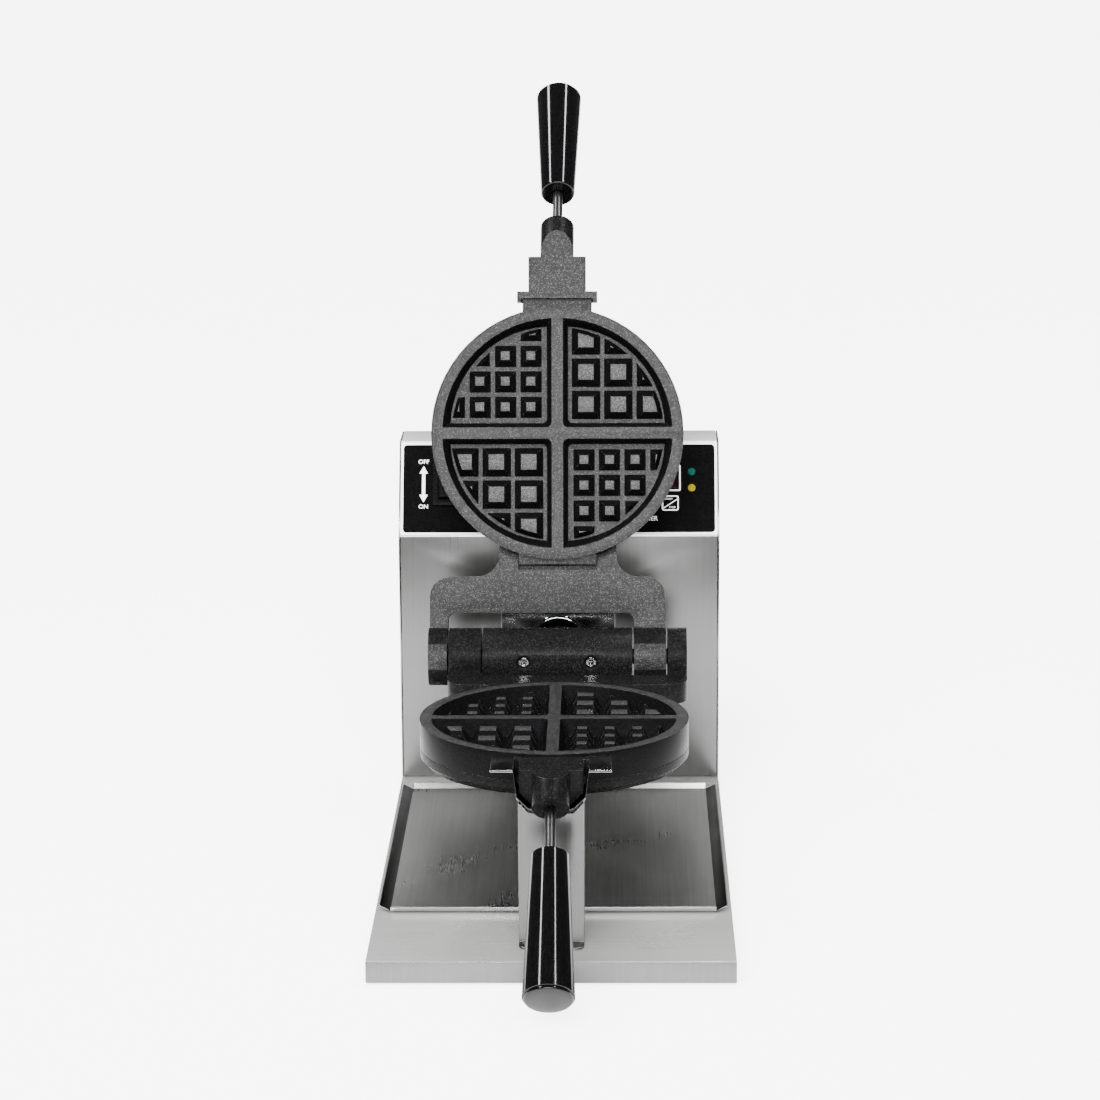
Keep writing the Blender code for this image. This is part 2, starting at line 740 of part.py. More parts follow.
def make_bearing_box(root):
    """Folded box ahead of the housing, with the chrome ring that the shaft comes out of."""
    half = BOX_WIDTH / 2
    low = HINGE_Z - BOX_HEIGHT / 2
    high = HINGE_Z + BOX_HEIGHT / 2
    rear = HOUSING_SETBACK - GAP
    box = add_object(
        "bearing_box",
        block_mesh("bearing_box", (-half, BOX_FRONT, low), (half, rear, high)),
        STEEL, root)
    hollow = add_cutter(
        "box_hollow",
        block_mesh(
            "box_hollow",
            (-half + BOX_SHEET, BOX_FRONT + BOX_SHEET, low + BOX_SHEET),
            (half - BOX_SHEET, rear + BOX_DEPTH, high - BOX_SHEET)),
        root)
    boolean(box, hollow)
    hole = add_cutter(
        "box_hole",
        rod_mesh(
            "box_hole",
            (0, BOX_FRONT - SHEET, HINGE_Z),
            (0, BOX_FRONT + 3 * SHEET, HINGE_Z),
            BOSS_RADIUS + RUN),
        root)
    boolean(box, hole)

    to_front = Matrix.Translation((0, BOX_FRONT - GAP, HINGE_Z))
    to_front = to_front @ Matrix.Rotation(math.radians(90), 4, 'X')
    bore = BOSS_RADIUS + RUN
    ring = [
        (bore, RING_THICK),
        (RING_RADIUS - RING_THICK / 2, RING_THICK),
        (RING_RADIUS, RING_THICK / 2),
        (RING_RADIUS, 0),
        (bore, 0),
    ]
    add_object(
        "shaft_ring",
        turned_mesh("shaft_ring", ring, RING_STEPS, to_front, closed=True),
        "bright_steel", root)

    to_rear = Matrix.Translation((0, rear - BEARING_WIDTH, HINGE_Z))
    to_rear = to_rear @ Matrix.Rotation(math.radians(90), 4, 'X')
    bore = SHAFT_RADIUS + GAP
    bush = [
        (bore, BEARING_WIDTH / 2),
        (BEARING_RADIUS - GAP, BEARING_WIDTH / 2),
        (BEARING_RADIUS - GAP, -BEARING_WIDTH / 2),
        (bore, -BEARING_WIDTH / 2),
    ]
    add_object(
        "front_bearing",
        turned_mesh("front_bearing", bush, ROD_STEPS, to_rear, closed=True),
        "bronze", root)

    pedestal_y = HOUSING_SETBACK + 2 * PEDESTAL_DEPTH
    pedestal = add_object(
        "rear_bearing",
        block_mesh(
            "rear_bearing",
            (-PEDESTAL_WIDTH / 2, pedestal_y - PEDESTAL_DEPTH / 2, BASE_TOP + GAP),
            (PEDESTAL_WIDTH / 2, pedestal_y + PEDESTAL_DEPTH / 2, HINGE_Z + PEDESTAL_WIDTH / 2)),
        "transformer_iron", root)
    bore_cut = add_cutter(
        "rear_bore",
        rod_mesh(
            "rear_bore",
            (0, pedestal_y - PEDESTAL_DEPTH, HINGE_Z),
            (0, pedestal_y + PEDESTAL_DEPTH, HINGE_Z),
            SHAFT_RADIUS + GAP),
        root)
    boolean(pedestal, bore_cut)


# ---------------------------------------------------------------- control panel

def panel_block(name, centre, size, low, high, grow=0.0):
    """A box on the sloping panel: middle, size and the heights it spans above the sheet."""
    half_x = size[0] / 2 + grow
    half_y = size[1] / 2 + grow
    return block_mesh(
        name,
        (centre[0] - half_x, centre[1] - half_y, low),
        (centre[0] + half_x, centre[1] + half_y, high))


def make_controls(panel, root):
    """Label, rocker switch, display, keys and lamps, in the panel's own frame."""
    frame = add_empty(
        "panel_frame", root, (0, HOUSING_SETBACK, PANEL_FOOT_Z), (math.pi / 2 - PANEL_TILT, 0, 0))
    label_size = (BASE_WIDTH - 2 * LABEL_MARGIN, PANEL_LENGTH - 2 * LABEL_MARGIN)
    label_low = GAP
    label_top = label_low + LABEL_THICK
    label = add_object(
        "control_label",
        panel_block("control_label", (0, PANEL_LENGTH / 2), label_size, label_low, label_top),
        "panel_label", frame)
    deep = -BEZEL_BODY
    bezel_place = (BEZEL_X, BEZEL_S)
    opening = (BEZEL_SIZE[0] - 2 * BEZEL_WALL, BEZEL_SIZE[1] - 2 * BEZEL_WALL)
    body = (opening[0] + BEZEL_WALL, opening[1] + BEZEL_WALL)
    windows = {
        "switch_window": (bezel_place, body),
        "display_window": ((DISPLAY_X, DISPLAY_S), DISPLAY_SIZE),
    }
    for name, place in KEY_PLACES.items():
        windows[name + "_window"] = (place, KEY_SIZE)
    for name, (place, size) in windows.items():
        window = add_cutter(name, panel_block(name, place, size, deep, BEZEL_RISE, GAP), frame)
        boolean(label, window)
        boolean(panel, window)
    for name, height in LED_PLACES.items():
        tool = add_cutter(
            name + "_window",
            rod_mesh(
                name + "_window", (LED_X, height, deep), (LED_X, height, BEZEL_RISE), LED_RADIUS + GAP,
                segments=LAMP_STEPS),
            frame)
        boolean(label, tool)
        boolean(panel, tool)
        lens = rod_mesh(
            name, (LED_X, height, -LED_BODY), (LED_X, height, label_top + LED_RISE), LED_RADIUS,
            segments=LAMP_STEPS)
        finish = name.split("_")[0] + "_lens"
        bevel(add_object(name, lens, finish, frame), LED_RISE / 2)

    bezel = add_object(
        "switch_bezel",
        panel_block("switch_bezel", bezel_place, BEZEL_SIZE, label_top + GAP, label_top + GAP + BEZEL_RISE),
        BLACK, frame)
    shell = add_cutter(
        "switch_body",
        panel_block("switch_body", bezel_place, body, deep, label_top + BEZEL_RISE / 2),
        frame)
    boolean(bezel, shell, 'UNION')
    throat = add_cutter(
        "switch_throat",
        panel_block("switch_throat", bezel_place, opening, deep + BEZEL_WALL / 2, BEZEL_BODY), frame)
    boolean(bezel, throat)

    pivot = add_empty(
        "rocker_pivot", frame, (BEZEL_X, BEZEL_S, label_top), (-ROCKER_TILT, 0, 0))
    half_x = opening[0] / 2 - ROCKER_GAP / 2
    half_y = opening[1] / 2 - ROCKER_GAP
    top = BEZEL_RISE + ROCKER_RISE
    rocker_outline = rounded([
        (-half_y, -BEZEL_RISE, ROCKER_ROUND),
        (half_y, -BEZEL_RISE, ROCKER_ROUND),
        (half_y, top, ROCKER_ROUND),
        (0, top - ROCKER_RISE / 2, 0),
        (-half_y, top, ROCKER_ROUND),
    ], steps=2)
    rocker = outline_mesh("power_rocker", rocker_outline, half_x * 2, side_place(0))
    add_object("power_rocker", rocker, BLACK, pivot)

    add_object(
        "timer_display",
        panel_block(
            "timer_display", (DISPLAY_X, DISPLAY_S), DISPLAY_SIZE, -DISPLAY_BODY,
            label_top + DISPLAY_RISE),
        "display_glass", frame)
    for name, (x, s) in KEY_PLACES.items():
        key_frame = add_empty(name + "_frame", frame, (x, s, 0))
        key = panel_block(name, (0, 0), KEY_SIZE, -KEY_BODY, label_top + KEY_RISE)
        bevel(add_object(name, key, "panel_label", key_frame), KEY_RISE / 2)
    board_x = (DISPLAY_X + LED_X) / 2
    add_object(
        "circuit_board",
        panel_block(
            "circuit_board", (board_x, PANEL_LENGTH / 2), BOARD_SIZE, -BOARD_DEPTH - BOARD_THICK,
            -BOARD_DEPTH),
        "board_green", frame)


# ---------------------------------------------------------------- turning head

def make_hub(head):
    """Barrel on the turning shaft, its hinge pin, set screws, shaft and collar."""
    hub = add_object(
        "hinge_barrel",
        rod_mesh("hinge_barrel", (-BARREL_HALF, 0, 0), (BARREL_HALF, 0, 0), BARREL_RADIUS, segments=BARREL_STEPS),
        CAST, head)
    neck = add_cutter(
        "barrel_neck",
        rod_mesh(
            "barrel_neck",
            (0, BARREL_RADIUS / 2, 0),
            (0, BOX_FRONT + 2 * BOX_SHEET, 0),
            BOSS_RADIUS),
        head)
    boolean(hub, neck, 'UNION')
    pin_bore = add_cutter(
        "pin_bore",
        rod_mesh("pin_bore", (-OUTER_TO, 0, 0), (OUTER_TO, 0, 0), PIN_RADIUS + GAP), head)
    boolean(hub, pin_bore)
    shaft_from = PIN_RADIUS + 2 * GAP + SHEET
    shaft_bore = add_cutter(
        "shaft_bore",
        rod_mesh("shaft_bore", (0, shaft_from - GAP, 0), (0, SHAFT_END, 0), SHAFT_RADIUS + GAP), head)
    boolean(hub, shaft_bore)
    for name, x in (("set_screw_left", -SET_SCREW_X), ("set_screw_right", SET_SCREW_X)):
        seat = -(BARREL_RADIUS - SET_RECESS_DEPTH)
        bore = add_cutter(
            name + "_bore",
            rod_mesh(
                name + "_bore", (x, 0, 0), (x, -BARREL_RADIUS - SHEET, 0), SET_SCREW_RADIUS + GAP,
                segments=SMALL_STEPS),
            head)
        boolean(hub, bore)
        recess = add_cutter(
            name + "_recess",
            rod_mesh(
                name + "_recess", (x, seat, 0), (x, -BARREL_RADIUS - SHEET, 0), SET_RECESS_RADIUS,
                segments=SMALL_STEPS),
            head)
        boolean(hub, recess)
        screw = add_object(
            name,
            rod_mesh(
                name, (x, -PIN_RADIUS - GAP, 0), (x, seat, 0), SET_SCREW_RADIUS, segments=SMALL_STEPS),
            "dark_rod", head)
        hexagon = add_cutter(
            name + "_hex",
            rod_mesh(
                name + "_hex", (x, seat + SET_RECESS_DEPTH, 0), (x, seat - SHEET, 0),
                SET_SCREW_RADIUS * HEX_SHARE, segments=HEX_SIDES),
            head)
        boolean(screw, hexagon)
    add_object(
        "hinge_pin",
        rod_mesh(
            "hinge_pin", (-OUTER_TO + SHEET, 0, 0), (OUTER_TO - SHEET, 0, 0), PIN_RADIUS),
        "dark_rod", head)
    add_object(
        "turning_shaft",
        rod_mesh("turning_shaft", (0, shaft_from, 0), (0, SHAFT_END, 0), SHAFT_RADIUS),
        "dark_rod", head)
    back = Matrix.Translation((0, SHAFT_END - COLLAR_WIDTH, 0))
    back = back @ Matrix.Rotation(math.radians(90), 4, 'X')
    bore = SHAFT_RADIUS + GAP
    collar = [
        (bore, COLLAR_WIDTH / 2),
        (COLLAR_RADIUS, COLLAR_WIDTH / 2),
        (COLLAR_RADIUS, -COLLAR_WIDTH / 2),
        (bore, -COLLAR_WIDTH / 2),
    ]
    add_object(
        "shaft_collar",
        turned_mesh("shaft_collar", collar, ROD_STEPS, back, closed=True),
        "dark_rod", head)


# ---------------------------------------------------------------- one half

def handle_point(along, across=0.0):
    """A point on or beside the handle's axis, which leaves the mating plane at the block's end."""
    reach = BLOCK_END + along * math.cos(HANDLE_TILT) + across * math.sin(HANDLE_TILT)
    drop = along * math.sin(HANDLE_TILT) - across * math.cos(HANDLE_TILT)
    return Vector((0, -reach, -drop))


def handle_place(along):
    """Turned pieces of the handle: Z points back along the axis from a place on it."""
    axis = Vector((0, math.cos(HANDLE_TILT), math.sin(HANDLE_TILT)))
    turn = axis.to_track_quat('Z', 'Y').to_matrix().to_4x4()
    return Matrix.Translation(handle_point(along)) @ turn


def frame_outline():
    """Plan of the casting's arms, shoulders and neck, one arm on each side."""
    neck_end = GRID_CENTRE - GRID_RADIUS * NECK_OVERLAP
    neck_start = SHOULDER_REACH
    left_out = -INNER_TO + GAP
    left_in = -INNER_FROM - GAP
    right_in = OUTER_FROM + GAP
    right_out = OUTER_TO - GAP
    arm_end = -BARREL_RADIUS * ARM_OVERLAP
    corners = [
        (left_out, arm_end, 0),
        (left_in, arm_end, 0),
        (left_in, -WINDOW_REACH, WINDOW_ROUND),
        (right_in, -WINDOW_REACH, WINDOW_ROUND),
        (right_in, arm_end, 0),
        (right_out, arm_end, 0),
        (right_out, -neck_start, SHOULDER_ROUND),
        (NECK_HALF, -neck_start - SHOULDER_FALL, NECK_FILLET),
        (NECK_HALF, -neck_end, 0),
        (-NECK_HALF, -neck_end, 0),
        (-NECK_HALF, -neck_start - SHOULDER_FALL, NECK_FILLET),
        (left_out, -neck_start, SHOULDER_ROUND),
    ]
    return rounded([(x, y, radius) for x, y, radius in reversed(corners)])


def make_frame(prefix, half):
    """Casting of one half: knuckles, arms, shoulders, round pan, front block and handle cup."""
    web_middle = -(ARM_TOP + WEB_THICK / 2)
    frame = add_object(
        prefix + "_frame",
        outline_mesh(prefix + "_frame", frame_outline(), WEB_THICK, flat_place(web_middle)),
        CAST, half)

    def join(name, mesh):
        boolean(frame, add_cutter(f"{prefix}_{name}", mesh, half), 'UNION')

    def cut(name, mesh):
        boolean(frame, add_cutter(f"{prefix}_{name}", mesh, half))

    join("inner_knuckle", rod_mesh(
        "inner_knuckle", (-INNER_TO, 0, 0), (-INNER_FROM, 0, 0), BARREL_RADIUS, segments=BARREL_STEPS))
    join("outer_knuckle", rod_mesh(
        "outer_knuckle", (OUTER_FROM, 0, 0), (OUTER_TO, 0, 0), BARREL_RADIUS, segments=BARREL_STEPS))

    at_grid = Matrix.Translation((0, -GRID_CENTRE, 0))
    inner = GRID_RADIUS - PAN_WALL
    pan = [
        (0, PAN_TOP + PAN_FLOOR),
        (GRID_RADIUS, PAN_TOP + PAN_FLOOR),
        (GRID_RADIUS, PAN_BOTTOM + PAN_CHAMFER),
        (GRID_RADIUS - PAN_CHAMFER, PAN_BOTTOM),
        (0, PAN_BOTTOM),
    ]
    join("pan", turned_mesh("pan", pan, PLATE_STEPS, at_grid))

    block_middle = -(LIP_START - FRONT_TAB_REACH * 2 + BLOCK_END) / 2
    block_outline = [
        (-BLOCK_HALF, 0),
        (-BLOCK_HALF, -BLOCK_DEPTH + BLOCK_CHAMFER),
        (-BLOCK_HALF + BLOCK_CHAMFER, -BLOCK_DEPTH),
        (BLOCK_HALF - BLOCK_CHAMFER, -BLOCK_DEPTH),
        (BLOCK_HALF, -BLOCK_DEPTH + BLOCK_CHAMFER),
        (BLOCK_HALF, 0),
    ]
    join("block", outline_mesh(
        "block", block_outline, BLOCK_END - LIP_START + FRONT_TAB_REACH * 2,
        front_place(block_middle)))
    join("lip", block_mesh(
        "lip",
        (-LIP_HALF, -LIP_END, -TAB_TOP - TAB_THICK - GAP * 2),
        (LIP_HALF, -LIP_START + LIP_EAR, 0)))
    join("cup", rod_mesh(
        "cup", handle_point(-CUP_RADIUS / 2), handle_point(CUP_LENGTH), CUP_RADIUS))

    cut("pan_hollow", rod_mesh(
        "pan_hollow", (0, -GRID_CENTRE, PAN_BOTTOM + PAN_FLOOR), (0, -GRID_CENTRE, BARREL_RADIUS / 2),
        inner, segments=PLATE_STEPS))
    cut("grid_seat", rod_mesh(
        "grid_seat", (0, -GRID_CENTRE, PAN_TOP), (0, -GRID_CENTRE, BARREL_RADIUS),
        GRID_RADIUS + 2 * GAP, segments=PLATE_STEPS))
    cut("grid_slide", rod_mesh(
        "grid_slide", (0, -GRID_CENTRE + TAB_SLACK, PAN_TOP + GAP),
        (0, -GRID_CENTRE + TAB_SLACK, BARREL_RADIUS * 2), GRID_RADIUS + 2 * GAP, segments=PLATE_STEPS))
    pocket_bottom = -(TAB_TOP + TAB_THICK + GAP)
    cut("rear_pocket", block_mesh(
        "rear_pocket",
        (-REAR_TAB_HALF - 2 * RUN, -REAR_TAB_END - NECK_HALF, pocket_bottom),
        (REAR_TAB_HALF + 2 * RUN, -REAR_TAB_END + TAB_SLACK, BARREL_RADIUS)))
    cut("front_pocket", block_mesh(
        "front_pocket",
        (-FRONT_TAB_HALF - 2 * RUN, -LIP_START, pocket_bottom),
        (FRONT_TAB_HALF + 2 * RUN, -GRID_CENTRE - GRID_RADIUS * NECK_OVERLAP, BARREL_RADIUS)))
    cut("mating_plane", block_mesh(
        "mating_plane",
        (-LIP_HALF * 2, -BLOCK_END - CUP_LENGTH, -MATE_GAP),
        (LIP_HALF * 2, -LIP_START + FRONT_TAB_REACH * 2, BARREL_RADIUS)))
    cut("pin_hole", rod_mesh(
        "pin_hole", (-OUTER_TO - SHEET, 0, 0), (OUTER_TO + SHEET, 0, 0), PIN_RADIUS + GAP))
    cut("rod_hole", rod_mesh(
        "rod_hole", handle_point(ROD_SOCKET - GAP), handle_point(CUP_LENGTH + SHEET),
        ROD_RADIUS + GAP, segments=SMALL_STEPS))


def stud_cones(bm, pitch, first, base, top, turn):
    """Rows of tapered studs over one quarter of the cavity."""
    count = math.ceil((CAVITY_RADIUS - first) / pitch)
    middle = GRID_TOP - CAVITY_DEPTH - STUD_SINK + (STUD_HEIGHT + STUD_SINK) / 2
    for row in range(count):
        for column in range(count):
            x = first + column * pitch
            y = first + row * pitch
            inner_corner = math.hypot(x - base / 2, y - base / 2)
            if inner_corner > CAVITY_RADIUS - STUD_TRIM - top / 2:
                continue
            place = turn @ Matrix.Translation((x, y, middle)) @ Matrix.Rotation(math.pi / 4, 4, 'Z')
            bmesh.ops.create_cone(
                bm, cap_ends=True, segments=4, radius1=base / math.sqrt(2),
                radius2=top / math.sqrt(2), depth=STUD_HEIGHT + STUD_SINK, matrix=place)


def pocket_outline():
    """Plan of one quarter of the cavity, between the two ribs and the round wall."""
    side = RIB_WIDTH / 2
    start = math.asin(side / CAVITY_RADIUS)
    ends = [(CAVITY_RADIUS, side, 0), (side, CAVITY_RADIUS, 0)]
    points = rounded([*ends, (side, side, POCKET_ROUND)])[len(ends):]
    arc = []
    for step in range(POCKET_STEPS + 1):
        angle = start + (math.pi / 2 - 2 * start) * step / POCKET_STEPS
        arc.append(Vector((math.cos(angle), math.sin(angle))) * CAVITY_RADIUS)
    return arc + points


def pocket_mesh(name, turn):
    """One quarter of the cavity, narrower at its floor."""
    bm = bmesh.new()
    verts = [bm.verts.new((point.x, point.y, GRID_TOP + POCKET_LIFT)) for point in pocket_outline()]
    face = bm.faces.new(verts)
    face.normal_update()
    grown = bmesh.ops.extrude_face_region(bm, geom=[face], use_keep_orig=True)
    floor = [item for item in grown["geom"] if isinstance(item, bmesh.types.BMVert)]
    bmesh.ops.translate(bm, verts=floor, vec=(0, 0, -CAVITY_DEPTH - POCKET_LIFT))
    middle = Vector((CAVITY_RADIUS, CAVITY_RADIUS, 0)) * POCKET_MIDDLE
    bmesh.ops.scale(
        bm, verts=floor, vec=(POCKET_DRAFT, POCKET_DRAFT, 1), space=Matrix.Translation(-middle))
    bmesh.ops.recalc_face_normals(bm, faces=bm.faces)
    bm.transform(turn)
    return mesh_from(bm, name)


def make_grid(prefix, slider):
    """Removable baking grid: rim, cross ribs, studs in four quarters, rear and front tabs."""
    at_grid = Matrix.Translation((0, -GRID_CENTRE, 0))
    bottom = GRID_TOP - GRID_HEIGHT
    under = GRID_TOP - CAVITY_DEPTH - GRID_FLOOR
    wall = GRID_RADIUS - PAN_WALL
    profile = [
        (0, GRID_TOP),
        (GRID_RADIUS, GRID_TOP),
        (GRID_RADIUS, bottom),
        (wall, bottom),
        (wall, under),
        (0, under),
    ]
    grid = add_object(
        prefix + "_grid", turned_mesh(prefix + "_grid", profile, PLATE_STEPS, at_grid), COAT, slider)
    tabs = {
        "rear_tab": ((-REAR_TAB_HALF, -GRID_CENTRE + GRID_RADIUS * TAB_ROOT, -TAB_TOP - TAB_THICK),
                     (REAR_TAB_HALF, -REAR_TAB_END, -TAB_TOP)),
        "front_tab": ((-FRONT_TAB_HALF, -TAB_END, -TAB_TOP - TAB_THICK),
                      (FRONT_TAB_HALF, -GRID_CENTRE - GRID_RADIUS * TAB_ROOT, -TAB_TOP)),
    }
    for name, (low, high) in tabs.items():
        tool = add_cutter(f"{prefix}_{name}", block_mesh(name, low, high), slider)
        boolean(grid, tool, 'UNION')
    for quarter in range(4):
        turn = at_grid @ Matrix.Rotation(math.pi / 2 * quarter, 4, 'Z')
        tool = add_cutter(f"{prefix}_pocket_{quarter}", pocket_mesh("pocket", turn), slider)
        boolean(grid, tool)
    bm = bmesh.new()
    fine = (FINE_PITCH, FINE_FIRST, FINE_BASE, FINE_TOP)
    coarse = (COARSE_PITCH, COARSE_FIRST, COARSE_BASE, COARSE_TOP)
    for quarter, pattern in enumerate((coarse, fine, coarse, fine)):
        stud_cones(bm, *pattern, at_grid @ Matrix.Rotation(math.pi / 2 * quarter, 4, 'Z'))
    studs = add_cutter(prefix + "_studs", mesh_from(bm, "studs"), slider)
    low = GRID_TOP - CAVITY_DEPTH - STUD_SINK * 2
    trim_radius = CAVITY_RADIUS - STUD_TRIM
    trim = add_cutter(
        prefix + "_stud_trim",
        rod_mesh(
            "stud_trim", (0, -GRID_CENTRE, low), (0, -GRID_CENTRE, GRID_TOP), trim_radius,
            trim_radius - STUD_HEIGHT * STUD_TRIM_SLOPE, segments=PLATE_STEPS),
        slider)
    boolean(studs, trim, 'INTERSECT')
    boolean(grid, studs, 'UNION')


def make_heater(prefix, half):
    """Heating ring and thermostat on the floor of the pan."""
    floor = PAN_BOTTOM + PAN_FLOOR
    bm = bmesh.new()
    centre = (0, -GRID_CENTRE, floor + GAP + HEATER_TUBE)
    circle = bmesh.ops.create_circle(
        bm, segments=TUBE_STEPS, radius=HEATER_TUBE,
        matrix=Matrix.Translation((HEATER_RING, -GRID_CENTRE, centre[2]))
        @ Matrix.Rotation(math.pi / 2, 4, 'X'))
    bmesh.ops.spin(
        bm, geom=circle["verts"] + list({edge for vert in circle["verts"] for edge in vert.link_edges}),
        cent=centre, axis=(0, 0, 1), angle=math.tau, steps=HEATER_STEPS, use_merge=True)
    bmesh.ops.recalc_face_normals(bm, faces=bm.faces)
    add_object(prefix + "_heater", mesh_from(bm, prefix + "_heater"), "heater_steel", half)
    low = floor + GAP
    add_object(
        prefix + "_thermostat",
        rod_mesh(
            prefix + "_thermostat", (0, -GRID_CENTRE, low), (0, -GRID_CENTRE, low + THERMOSTAT_HEIGHT),
            THERMOSTAT_RADIUS, segments=SMALL_STEPS),
        "nylon", half)


def make_handle(prefix, half):
    """Rod, tapered grip and end cap."""
    grip_from = CUP_LENGTH + ROD_SHOW
    grip_to = grip_from + GRIP_LENGTH
    add_object(
        prefix + "_rod",
        rod_mesh(
            prefix + "_rod", handle_point(ROD_SOCKET), handle_point(grip_from + GRIP_BORE_DEPTH - GAP),
            ROD_RADIUS, segments=SMALL_STEPS),
        "dark_rod", half)
    bore = ROD_RADIUS + GAP
    grip = [
        (bore, 0),
        (GRIP_THIN - GRIP_SOFT, 0),
        (GRIP_THIN, -GRIP_SOFT),
        (GRIP_THICK, -GRIP_LENGTH),
        (0, -GRIP_LENGTH),
        (0, -GRIP_BORE_DEPTH),
        (bore, -GRIP_BORE_DEPTH),
        (bore, 0),
    ]
    add_object(
        prefix + "_grip",
        turned_mesh(prefix + "_grip", grip, BARREL_STEPS, handle_place(grip_from)),
        BLACK, half)
    cap = [
        (0, 0),
        (GRIP_THICK - GRIP_SOFT, 0),
        (GRIP_THICK - GRIP_SOFT, -CAP_THICK / 2),
        (GRIP_THICK - 2 * GRIP_SOFT, -CAP_THICK),
        (0, -CAP_THICK),
    ]
    add_object(
        prefix + "_end_cap",
        turned_mesh(prefix + "_end_cap", cap, BARREL_STEPS, handle_place(grip_to + GAP)),
        BLACK, half)


def make_half(prefix, half):
    """Every piece of one half, in the frame of its empty on the hinge axis."""
    make_frame(prefix, half)
    slider = add_empty(prefix + "_grid_body", half)
    make_grid(prefix, slider)
    make_heater(prefix, half)
    make_handle(prefix, half)


def middle_of_model():
    """Middle of all the finished pieces along Y."""
    bpy.context.view_layer.update()
    graph = bpy.context.evaluated_depsgraph_get()
    reach = []
    for obj in PARTS.objects:
        if obj.type == 'MESH':
            piece = obj.evaluated_get(graph)
            reach += [(piece.matrix_world @ Vector(corner)).y for corner in piece.bound_box]
    return (min(reach) + max(reach)) / 2


clear_scene()
PARTS = new_collection("waffle_maker")
CUTTERS = new_collection("cutters")
stand = add_empty("stand", None)
make_base(stand)
make_post(stand)
tray_slide = add_empty("tray_slide", stand)
make_tray(tray_slide)
sloping_panel = make_housing(stand)
make_inlet(stand)
make_electrics(stand)
make_bearing_box(stand)
make_controls(sloping_panel, stand)
turning_head = add_empty("turning_head", stand, (0, 0, HINGE_Z))
make_hub(turning_head)
make_half("lower", add_empty("lower_half", turning_head))
make_half("upper", add_empty("upper_half", turning_head, rotation=(LID_OPEN, math.pi, 0)))
stand.location.y = -middle_of_model()
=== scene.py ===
"""Looks of a rotary round waffle maker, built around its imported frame.

Every piece stays where the frame has it. Castings, grids and sheet metal get worked edges and
coats, the grips, caps, lamps and prints are made here, and a plain studio is set around them.
"""

import json
import math

import bmesh
import bpy
from bpy.props import (
    FloatProperty, FloatVectorProperty, IntProperty, PointerProperty, StringProperty)
from mathutils import Matrix, Vector


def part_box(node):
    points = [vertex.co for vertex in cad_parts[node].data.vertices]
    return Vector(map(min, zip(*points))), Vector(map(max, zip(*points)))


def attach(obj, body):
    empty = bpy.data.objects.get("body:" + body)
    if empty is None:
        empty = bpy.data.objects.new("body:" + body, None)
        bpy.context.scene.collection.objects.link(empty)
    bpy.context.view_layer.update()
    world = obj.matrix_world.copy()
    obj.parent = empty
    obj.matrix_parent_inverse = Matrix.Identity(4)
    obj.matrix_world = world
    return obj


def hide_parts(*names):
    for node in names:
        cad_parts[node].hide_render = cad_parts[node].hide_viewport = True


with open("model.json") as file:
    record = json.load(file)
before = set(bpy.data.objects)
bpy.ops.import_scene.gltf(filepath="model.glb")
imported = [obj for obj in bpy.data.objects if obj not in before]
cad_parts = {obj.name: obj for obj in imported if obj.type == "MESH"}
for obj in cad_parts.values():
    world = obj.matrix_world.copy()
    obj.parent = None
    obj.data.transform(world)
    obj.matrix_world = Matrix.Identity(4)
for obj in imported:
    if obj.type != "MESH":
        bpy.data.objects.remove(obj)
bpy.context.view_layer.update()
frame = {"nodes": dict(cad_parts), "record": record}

bl_info = {
    "name": "Waffle maker",
    "version": (1, 0, 0),
    "blender": (4, 5, 0),
    "location": "View3D > Sidebar > Waffle maker",
    "description": "Builds the looks of a rotary round waffle maker around its frame",
    "category": "Object",
}

RECORD = frame["record"]
BODIES = RECORD["behaviour"]["bodies"]
BODY_OF = {node: body for body, nodes in BODIES.items() for node in nodes}
JOINTS = {joint["name"]: joint for joint in RECORD["behaviour"]["joints"]}
HINGE = Vector(JOINTS["lid_close"]["pos_m"])
LID_OPEN = math.radians(JOINTS["lid_close"]["range_deg"][1])


def half_place(prefix):
    """From a half's own frame, hinge on X and handle to -Y, to the row frame."""
    place = Matrix.Translation(HINGE)
    if prefix == "lower":
        return place
    return place @ Matrix.Rotation(math.pi, 4, 'Y') @ Matrix.Rotation(LID_OPEN, 4, 'X')


def box_middle(node):
    low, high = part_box(node)
    return (Vector(low) + Vector(high)) / 2


def box_size(node):
    low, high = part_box(node)
    return Vector(high) - Vector(low)


def panel_place():
    """From the sloping panel's frame, X across, Y up the slope and Z out, to the row frame."""
    out = -Vector(JOINTS["up_key_press"]["axis"])
    across = Vector((1, 0, 0))
    up = out.cross(across)
    turn = Matrix((across, up, out)).transposed().to_4x4()
    return Matrix.Translation(box_middle("control_label")) @ turn


PANEL = panel_place()
LABEL_WIDTH = box_size("control_label").x
LABEL_HEIGHT = math.hypot(box_size("control_label").y, box_size("control_label").z)


# ---------------------------------------------------------------- settings

